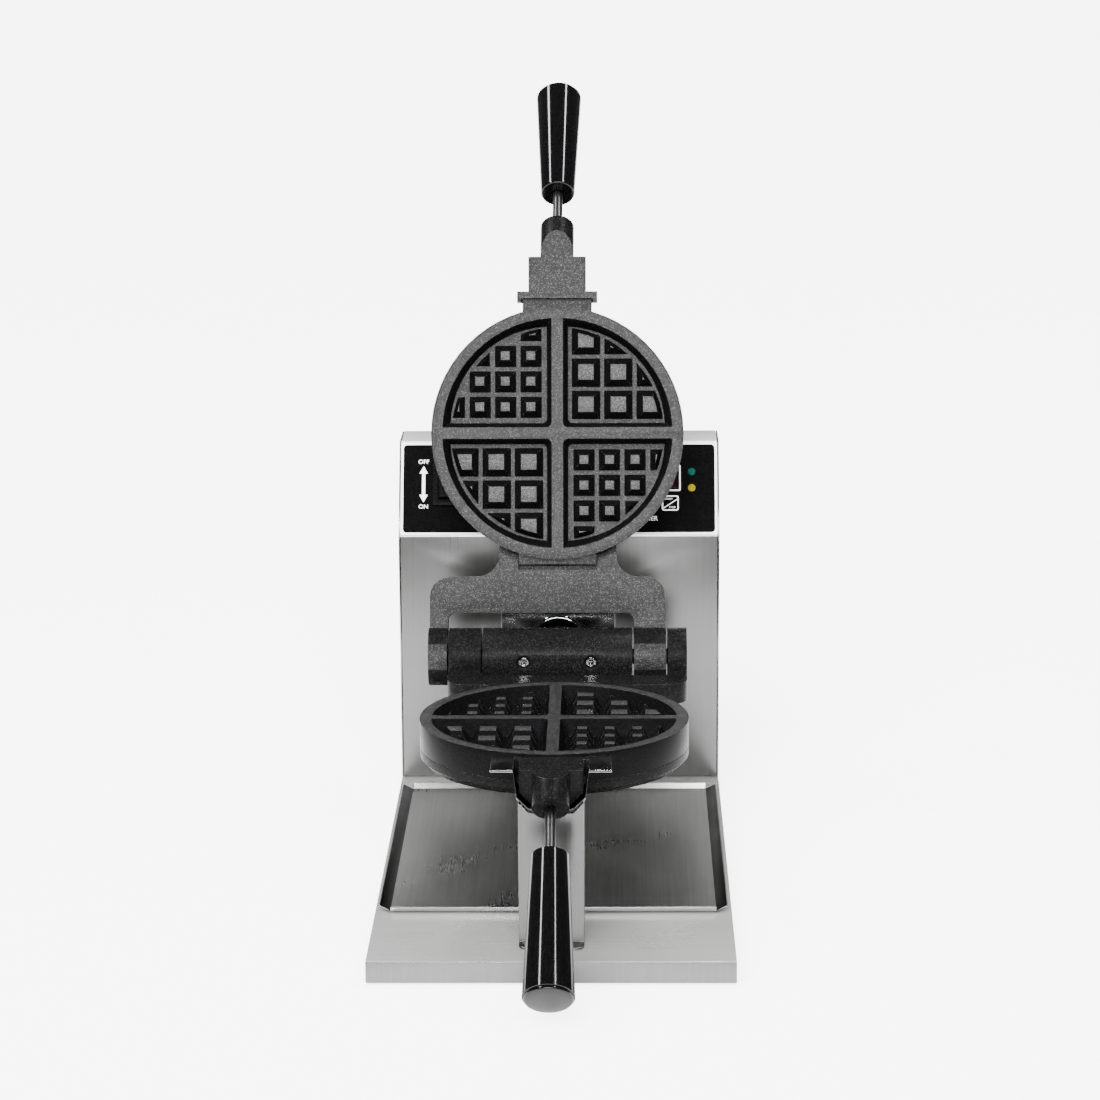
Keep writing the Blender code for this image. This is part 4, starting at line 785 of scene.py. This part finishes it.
class WAFFLE_OT_head_fittings(bpy.types.Operator):
    """Pin, set screws, shaft, collar, ring and bearings"""

    bl_idname = "waffle.head_fittings"
    bl_label = "Head fittings"

    def execute(self, context):
        sizes = context.scene.waffle_sizes
        small = sizes.sheet_edge
        for node in ("hinge_pin", "turning_shaft", "shaft_collar"):
            rework(node, small, "rod_steel", 2)
        for node in ("set_screw_left", "set_screw_right"):
            rework(node, small * 0.6, "ring_bright", 2)
        rework("shaft_ring", small, "ring_bright", 3, angle=25)
        rework("front_bearing", small * 0.5, "bush_bronze")
        rework("rear_bearing", small, "varnished_iron")
        return {'FINISHED'}


def handle_axis(prefix):
    """A grip's place and length in the row frame, and its radii: thin end, thick end and bore."""
    middle = box_middle(prefix + "_rod")
    run = (box_middle(prefix + "_end_cap") - middle).normalized()
    corners = [vert.co.copy() for vert in frame["nodes"][prefix + "_grip"].data.vertices]
    along = [(corner - middle).dot(run) for corner in corners]
    length = max(along) - min(along)
    turn = run.to_track_quat('Z', 'X').to_matrix().to_4x4()
    place = Matrix.Translation(middle + run * min(along)) @ turn
    inverse = place.inverted()
    local = [inverse @ corner for corner in corners]
    start = [point.to_2d().length for point in local if point.z < length * 0.05]
    thick = max(point.to_2d().length for point in local)
    return place, length, max(start), thick, min(start)


GRIP_SOFT = 0.0014             # rounding of a grip's rod end
BORE_SHARE = 0.3               # of a grip's length, depth of its bore
BORE_EDGE = 0.0012
GRIP_EDGE = 0.0004             # chamfer at the cap end
CAP_GAP = 0.0003
CAP_THICK = 0.003
CAP_RIM = 0.0008
CAP_INSET = 0.0012             # cap inside the grip's thick end


class WAFFLE_OT_handles(bpy.types.Operator):
    """Rods, glossy tapered grips and domed end caps"""

    bl_idname = "waffle.handles"
    bl_label = "Handles"

    def execute(self, context):
        sizes = context.scene.waffle_sizes
        for prefix in ("lower", "upper"):
            place, length, thin, thick, bore = handle_axis(prefix)
            grip = self.grip(length, thin, thick, bore)
            cap = self.cap(length + CAP_GAP, thick - CAP_INSET)
            for node, ending, profile in (("_grip", "_moulded", grip), ("_end_cap", "_domed", cap)):
                bm = spun(profile, sizes.grip_sides, place)
                add_piece(prefix + node + ending, bm, ["grip_gloss"], prefix + node)
            rework(prefix + "_rod", sizes.sheet_edge, "rod_steel")
        return {'FINISHED'}

    def grip(self, length, thin, thick, bore):
        """Profile of a tapered grip, from the bottom of its bore to the middle of its thick end."""
        depth = length * BORE_SHARE
        profile = [(0.0, depth), (bore, depth), (bore, GRIP_SOFT), (bore + BORE_EDGE, 0.0)]
        profile += [(thin - 2.6 * GRIP_SOFT, 0.0)]
        profile += arc_points((thin - GRIP_SOFT, GRIP_SOFT), GRIP_SOFT, -90, -5, 6)
        profile += [((thin + thick) / 2, length * 0.5), (thick, length - GRIP_EDGE / 2)]
        return profile + [(thick - GRIP_EDGE, length), (0.0, length)]

    def cap(self, low, radius):
        """Profile of a low domed cap."""
        rim = low + CAP_RIM
        profile = [(0.0, low), (radius, low), (radius, rim)]
        profile += arc_points((radius - GRIP_SOFT, rim), GRIP_SOFT, 0, 80, 5)
        return profile + [(radius * 0.55, low + CAP_THICK - CAP_GAP), (0.0, low + CAP_THICK)]


class WAFFLE_OT_sheet_metal(bpy.types.Operator):
    """Folded stainless stand, tray and housing"""

    bl_idname = "waffle.sheet_metal"
    bl_label = "Sheet metal"

    def execute(self, context):
        edge = context.scene.waffle_sizes.sheet_edge
        # the base pan's top faces take the lighter steel: painted light
        self.two_finishes("base_pan", edge * 2, 3, "sheet_upright", "pan_top", self.is_top)
        rework("support_post", edge, "sheet_upright")
        # the cradle's sheet is painted dark as painted shade, and its worked edges bright as
        # painted highlight
        rework("cradle", edge * 0.8, "cradle_steel", flatten=False, edges="ring_bright")
        self.two_finishes("drip_tray", edge * 0.8, 2, "tray_steel", "tray_side", self.is_slope)
        # the sides, the top cover and the bearing box take the painted-light steels, the front
        # panel the painted-shade one
        for node, finish in (
                ("front_panel", "sheet_front"), ("control_panel", "sheet_top"),
                ("left_side", "sheet_bright"), ("right_side", "sheet_bright")):
            rework(node, edge * 0.8, finish)
        rework("rear_cover", edge * 0.6, "sheet_upright")
        rework("bearing_box", edge, "sheet_bright")
        retouch("bottom_plate", "sheet_across")
        return {'FINISHED'}

    def is_top(self, face):
        return face.normal.z > 0.7

    def is_slope(self, face):
        """Slopes at the tray's two ends, which lie in shade."""
        return 0.15 < abs(face.normal.x) < 0.98

    def two_finishes(self, node, edge, segments, finish, other, chosen):
        """A folded sheet whose chosen faces take another finish."""
        bm = worked_copy(node, edge, segments)
        for face in bm.faces:
            face.material_index = 1 if chosen(face) else 0
        add_piece(node + "_worked", bm, [finish, other], node)


LABEL_TOP = 0.00025            # label's face over the middle of its sheet
KEY_RISE = 0.0009              # faces of the controls over the label
DISPLAY_RISE = 0.0007
LAMP_RISE = 0.0014
WORD_HEIGHT = 0.0034           # ON and OFF
TIMER_HEIGHT = 0.0037


def panel_middle(node):
    """Middle of a control in the panel's own frame."""
    return PANEL.inverted() @ box_middle(node)


class WAFFLE_OT_label(bpy.types.Operator):
    """Printed overlay of the control panel, with its border, letters and outlines"""

    bl_idname = "waffle.label"
    bl_label = "Label"

    def execute(self, context):
        sizes = context.scene.waffle_sizes
        node = "control_label"
        bm = worked_copy(node, 0)
        add_piece(node + "_border", bm, ["label_border"], node)

        rise = sizes.print_rise
        bm = bmesh.new()
        inner = (LABEL_WIDTH - 2 * sizes.border, LABEL_HEIGHT - 2 * sizes.border)
        rounded_plate(bm, (0, 0), inner, 0.003, LABEL_TOP - rise, LABEL_TOP + rise)
        bmesh.ops.recalc_face_normals(bm, faces=bm.faces)
        bm.transform(PANEL)
        add_piece("label_field", bm, ["label_black"], node, replaced=False)

        low = LABEL_TOP + rise
        high = low + rise
        bm = bmesh.new()
        switch = panel_middle("switch_bezel")
        arrow_x = switch.x - 0.0211
        self.arrow(bm, arrow_x, switch.y, low, high)
        letters(bm, "OFF", (arrow_x, switch.y + 0.0181), WORD_HEIGHT, low, high)
        letters(bm, "ON", (arrow_x, switch.y - 0.0184), WORD_HEIGHT, low, high)
        display = panel_middle("timer_display")
        rounded_frame(bm, (display.x, display.y), (0.0505, 0.0215), 0.0015, 0.0011, low, high)
        letters(bm, "TIMER", (display.x, -0.0247), TIMER_HEIGHT, low, high)
        bm.transform(PANEL)
        bmesh.ops.recalc_face_normals(bm, faces=bm.faces)
        add_piece("label_print", bm, ["print_white"], node, replaced=False)
        return {'FINISHED'}

    def arrow(self, bm, x, y, low, high):
        """Double-headed arrow beside the switch."""
        reach = 0.0147
        head = 0.006
        half = 0.0033
        bar(bm, (x, y - reach + head), (x, y + reach - head), 0.0024, low, high)
        for sign in (-1, 1):
            spot = (x, y + sign * (reach - head * 2 / 3))
            printed_triangle(bm, spot, 2 * half, sign * head, low, high)


class WAFFLE_OT_controls(bpy.types.Operator):
    """Rocker switch, keys, display and lamps"""

    bl_idname = "waffle.controls"
    bl_label = "Controls"

    def execute(self, context):
        edge = context.scene.waffle_sizes.sheet_edge
        rework("switch_bezel", edge, "black_moulding", 3)
        rework("power_rocker", edge, "black_moulding", 3)
        self.rocker_marks()
        self.keys(context.scene.waffle_sizes)
        self.display()
        for node, finish in (("green_lamp", "lens_green"), ("yellow_lamp", "lens_yellow")):
            self.lamp(node, finish)
        return {'FINISHED'}

    def rocker_marks(self):
        """Raised ribs on the rocker's two ends."""
        joint = JOINTS["rocker_tilt"]
        tilt = Matrix.Rotation(-math.radians(joint["range_deg"][1]) / 2, 4, 'X')
        place = Matrix.Translation(joint["pos_m"]) @ PANEL.to_3x3().to_4x4() @ tilt
        size = Matrix.Diagonal((0.0125, 0.0007, 0.0006, 1))
        bm = bmesh.new()
        for sign in (-1, 1):
            for index in range(4):
                y = sign * (0.0035 + index * 0.0018)
                rise = 0.0041 + 0.0011 * abs(y) / 0.0115
                bmesh.ops.create_cube(bm, size=1, matrix=Matrix.Translation((0, y, rise)) @ size)
        bmesh.ops.bevel(
            bm, geom=bm.edges[:], offset=0.0001, segments=2, profile=0.5, affect='EDGES',
            material=-1)
        bm.transform(place)
        add_piece("rocker_ribs", bm, ["black_moulding"], "power_rocker", replaced=False)

    def keys(self, sizes):
        """Soft key caps, each with a printed outline and its sign."""
        low = LABEL_TOP + KEY_RISE
        high = low + sizes.print_rise
        for node in ("down_key", "up_key", "start_stop_key"):
            rework(node, 0.0004, "label_black", 2)
            middle = panel_middle(node)
            bm = bmesh.new()
            rounded_frame(bm, (middle.x, middle.y), (0.0132, 0.0123), 0.0018, 0.001, low, high)
            if node == "start_stop_key":
                bar(bm, (middle.x - 0.0056, middle.y - 0.0042),
                    (middle.x + 0.0056, middle.y + 0.0032), 0.0007, low, high)
                letters(bm, "START", (middle.x - 0.0012, middle.y + 0.0033), 0.0015, low, high)
                letters(bm, "STOP", (middle.x + 0.0015, middle.y - 0.0035), 0.0015, low, high)
            else:
                sign = 1 if node == "up_key" else -1
                printed_triangle(bm, (middle.x, middle.y), 0.0052, 0.0046 * sign, low, high)
            bmesh.ops.recalc_face_normals(bm, faces=bm.faces)
            bm.transform(PANEL)
            add_piece(node + "_print", bm, ["print_white"], node, replaced=False)

    def display(self):
        """Dark red window with three unlit digits, which have a faint painted glow."""
        node = "timer_display"
        rework(node, 0.0003, "display_red", 2)
        middle = panel_middle(node)
        low = LABEL_TOP + DISPLAY_RISE
        high = low + 0.00005
        half, tall, line = 0.0029, 0.0055, 0.0009
        bm = bmesh.new()
        for index in (-1, 0, 1):
            x = middle.x + index * 0.0115
            for level in (-1, 0, 1):
                y = middle.y + level * tall
                bar(bm, (x - half * 0.8, y), (x + half * 0.8, y), line, low, high)
            for side in (-1, 1):
                for level in (-1, 1):
                    start = (x + side * half, middle.y + level * tall * 0.12)
                    end = (x + side * half, middle.y + level * tall * 0.9)
                    bar(bm, start, end, line, low, high)
        bm.transform(PANEL)
        add_piece("display_digits", bm, ["display_digit"], node, replaced=False)

    def lamp(self, node, finish):
        """Domed lamp lens."""
        middle = panel_middle(node)
        radius = box_size(node).x / 2
        side = radius - 0.0002
        top = LABEL_TOP + LAMP_RISE
        profile = [(0.0, -0.0058), (side, -0.0058), (side, 0.0006), (radius - 0.0004, 0.0009)]
        profile += [(radius * 0.7, top - 0.0003), (radius * 0.35, top - 0.0001), (0.0, top)]
        bm = spun(profile, 40, PANEL @ Matrix.Translation((middle.x, middle.y, 0)))
        add_piece(node + "_domed", bm, [finish], node)


SCREW_RADIUS = 0.0032
SCREW_RISE = 0.0014
SCREW_CLEAR = 0.00005          # head off the sheet


class WAFFLE_OT_small_parts(bpy.types.Operator):
    """Feet, inlet with its pins, sheet screws and the pieces inside"""

    bl_idname = "waffle.small_parts"
    bl_label = "Small parts"

    def execute(self, context):
        for node in ("foot_front_left", "foot_front_right", "foot_rear_left", "foot_rear_right"):
            rework(node, 0.0008, "foot_rubber", 3)
        rework("mains_inlet", 0.0004, "black_moulding")
        self.inlet_pins()
        self.screws()
        for node, finish in (
                ("circuit_board", "board_green"), ("transformer", "varnished_iron"),
                ("terminal_block", "terminal_nylon"), ("relay", "black_moulding"),
                ("lower_heater", "heater_sheath"), ("upper_heater", "heater_sheath"),
                ("lower_thermostat", "terminal_nylon"), ("upper_thermostat", "terminal_nylon")):
            retouch(node, finish)
        return {'FINISHED'}

    def inlet_pins(self):
        """Three flat pins in the mains socket."""
        middle = box_middle("mains_inlet")
        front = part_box("mains_inlet")[0][1]
        size = Matrix.Diagonal((0.002, 0.009, 0.004, 1))
        bm = bmesh.new()
        for x, z in ((-0.007, -0.0015), (0.007, -0.0015), (0.0, 0.0025)):
            place = Matrix.Translation((middle.x + x, front + 0.007, middle.z + z))
            bmesh.ops.create_cube(bm, size=1, matrix=place @ size)
        bmesh.ops.bevel(
            bm, geom=bm.edges[:], offset=0.0003, segments=2, profile=0.5, affect='EDGES',
            material=-1)
        add_piece("inlet_pins", bm, ["contact_brass"], "mains_inlet", replaced=False)

    def screws(self):
        """Pan-head sheet screws on the rear cover and the sides."""
        low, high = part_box("rear_cover")
        inset = 0.008
        places = []
        for x in (low[0] + inset, 0.0, high[0] - inset):
            for z in (low[2] + inset, high[2] - inset):
                places.append((Vector((x, high[1], z)), Vector((0, 1, 0))))
        for node, sign in (("left_side", -1), ("right_side", 1)):
            low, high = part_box(node)
            x = low[0] if sign < 0 else high[0]
            for z in (low[2] + 0.02, low[2] + 0.15):
                places.append((Vector((x, high[1] - 0.012, z)), Vector((sign, 0, 0))))
        radius, rise = SCREW_RADIUS, SCREW_RISE
        profile = [(0.0, 0.0), (radius, 0.0), (radius, 0.0004), (radius * 0.8, rise * 0.8)]
        profile += [(radius * 0.45, rise), (radius * 0.4, rise * 0.35), (0.0, rise * 0.35)]
        for index, (spot, out) in enumerate(places):
            turn = out.to_track_quat('Z', 'Y').to_matrix().to_4x4()
            bm = spun(profile, 24, Matrix.Translation(spot + out * SCREW_CLEAR) @ turn)
            add_piece(f"sheet_screw_{index + 1}", bm, ["ring_bright"], "shaft_ring", replaced=False)


CAMERA_FROM_HINGE = Vector((0.0432, -2.6451, 0.6897))
CAMERA_TURN = (-0.01837, -0.22526, -0.00594)   # yaw, pitch and roll in radians


class WAFFLE_OT_studio(bpy.types.Operator):
    """Pale floor, soft lights and the camera"""

    bl_idname = "waffle.studio"
    bl_label = "Studio"

    def execute(self, context):
        studio = context.scene.waffle_studio
        self.floor(studio)
        self.surround(studio)
        self.sun("overhead", (0.15, 0.9, -0.72), studio.sun)
        aim = (0.0, -0.1, 0.3)
        self.light("left_strip", (-0.95, 0.05, 1.6), aim, (1.7, 0.14), studio.key)
        self.light("right_strip", (0.7, 0.05, 1.7), aim, (1.7, 0.09), studio.fill)
        self.light("front_strip", (0.0, -3.4, 1.5), (0.0, 0.0, 0.2), (2.4, 0.35), studio.front)
        self.camera(context, studio)
        return {'FINISHED'}

    def floor(self, studio):
        """Wide pale floor with a grain too fine to draw the eye."""
        mat, tree, shader = start_material("floor_card", roughness=0.7)
        coords = tree.nodes.new('ShaderNodeTexCoord')
        grain = noise(tree, 60.0, 3.0)
        tree.links.new(coords.outputs["Object"], grain.inputs["Vector"])
        pale = tuple(studio.floor)
        tint = colour_mix(tree, grain.outputs["Fac"], tinted(pale, 0.985), pale)
        tree.links.new(tint, shader.inputs["Base Color"])
        tree.links.new(tint, shader.inputs["Emission Color"])
        rays = tree.nodes.new('ShaderNodeLightPath')
        glow = math_node(tree, 'MULTIPLY', rays.outputs["Is Camera Ray"], studio.glow)
        tree.links.new(glow, shader.inputs["Emission Strength"])
        bm = bmesh.new()
        bmesh.ops.create_grid(bm, x_segments=1, y_segments=1, size=12)
        mesh = bpy.data.meshes.new("floor")
        bm.to_mesh(mesh)
        bm.free()
        mesh.materials.append(mat)
        floor = bpy.data.objects.new("floor", mesh)
        bpy.context.scene.collection.objects.link(floor)

    def surround(self, studio):
        """Pale surround, a little darker towards the horizon and bright behind the machine."""
        world = bpy.data.worlds.new("surround")
        world.use_nodes = True
        tree = world.node_tree
        background = tree.nodes["Background"]
        coords = tree.nodes.new('ShaderNodeTexCoord')
        split = tree.nodes.new('ShaderNodeSeparateXYZ')
        tree.links.new(coords.outputs["Generated"], split.inputs["Vector"])
        shade = remap(tree, split.outputs["Z"], 0.3, 0.9, 0.6, 1.0)
        backdrop = remap(tree, split.outputs["Y"], 0.3, 0.9, 0.0, studio.backdrop)
        total = math_node(tree, 'MULTIPLY', math_node(tree, 'ADD', shade, backdrop), studio.sky)
        tree.links.new(total, background.inputs["Strength"])
        bpy.context.scene.world = world

    def sun(self, name, direction, strength):
        """Even soft light over the whole floor."""
        lamp = bpy.data.lights.new(name, 'SUN')
        lamp.energy = strength
        lamp.angle = math.radians(50)
        obj = bpy.data.objects.new(name, lamp)
        obj.visible_glossy = False
        bpy.context.scene.collection.objects.link(obj)
        obj.rotation_euler = Vector(direction).to_track_quat('-Z', 'Y').to_euler()

    def light(self, name, spot, aim, size, power):
        """Long narrow strip of light."""
        lamp = bpy.data.lights.new(name, 'AREA')
        lamp.energy = power
        lamp.shape = 'RECTANGLE'
        lamp.size, lamp.size_y = size
        obj = bpy.data.objects.new(name, lamp)
        bpy.context.scene.collection.objects.link(obj)
        obj.location = spot
        obj.rotation_euler = (Vector(aim) - Vector(spot)).to_track_quat('-Z', 'Y').to_euler()

    def camera(self, context, studio):
        """Long lens from the front, above and a little to the right."""
        lens = bpy.data.cameras.new("camera")
        lens.lens = studio.focal
        lens.sensor_width = 36.0
        lens.clip_end = 50.0
        obj = bpy.data.objects.new("camera", lens)
        context.scene.collection.objects.link(obj)
        yaw, pitch, roll = CAMERA_TURN
        flat = math.cos(pitch)
        ahead = Vector((math.sin(yaw) * flat, math.cos(yaw) * flat, math.sin(pitch)))
        level = Vector((math.cos(yaw), -math.sin(yaw), 0.0))
        upward = level.cross(ahead)
        right = level * math.cos(roll) + upward * math.sin(roll)
        top = upward * math.cos(roll) - level * math.sin(roll)
        turn = Matrix((right, top, -ahead)).transposed().to_4x4()
        obj.matrix_world = Matrix.Translation(HINGE + CAMERA_FROM_HINGE) @ turn
        context.scene.camera = obj


class WAFFLE_PT_panel(bpy.types.Panel):
    """Buttons for each group of pieces"""

    bl_idname = "WAFFLE_PT_panel"
    bl_label = "Waffle maker"
    bl_space_type = 'VIEW_3D'
    bl_region_type = 'UI'
    bl_category = "Waffle maker"

    def draw(self, context):
        layout = self.layout
        for settings in ("waffle_finishes", "waffle_sizes", "waffle_studio"):
            group = getattr(context.scene, settings)
            for name in group.bl_rna.properties.keys():
                if name not in ("rna_type", "name"):
                    layout.prop(group, name)
        for operator in OPERATORS:
            layout.operator(operator.bl_idname)


GROUPS = {
    "waffle_finishes": WaffleFinishes,
    "waffle_sizes": WaffleSizes,
    "waffle_studio": WaffleStudio,
}
OPERATORS = (
    WAFFLE_OT_studio,
    WAFFLE_OT_castings,
    WAFFLE_OT_grids,
    WAFFLE_OT_head_fittings,
    WAFFLE_OT_handles,
    WAFFLE_OT_sheet_metal,
    WAFFLE_OT_label,
    WAFFLE_OT_controls,
    WAFFLE_OT_small_parts,
)
CLASSES = (*GROUPS.values(), *OPERATORS, WAFFLE_PT_panel)


def register():
    for cls in CLASSES:
        bpy.utils.register_class(cls)
    for name, group in GROUPS.items():
        setattr(bpy.types.Scene, name, PointerProperty(type=group))


def unregister():
    for name in GROUPS:
        delattr(bpy.types.Scene, name)
    for cls in reversed(CLASSES):
        bpy.utils.unregister_class(cls)


def main():
    register()
    make_materials(bpy.context.scene.waffle_finishes)
    bpy.ops.waffle.studio()
    bpy.ops.waffle.castings()
    bpy.ops.waffle.grids()
    bpy.ops.waffle.head_fittings()
    bpy.ops.waffle.handles()
    bpy.ops.waffle.sheet_metal()
    bpy.ops.waffle.label()
    bpy.ops.waffle.controls()
    bpy.ops.waffle.small_parts()


if __name__ == "__main__":
    main()
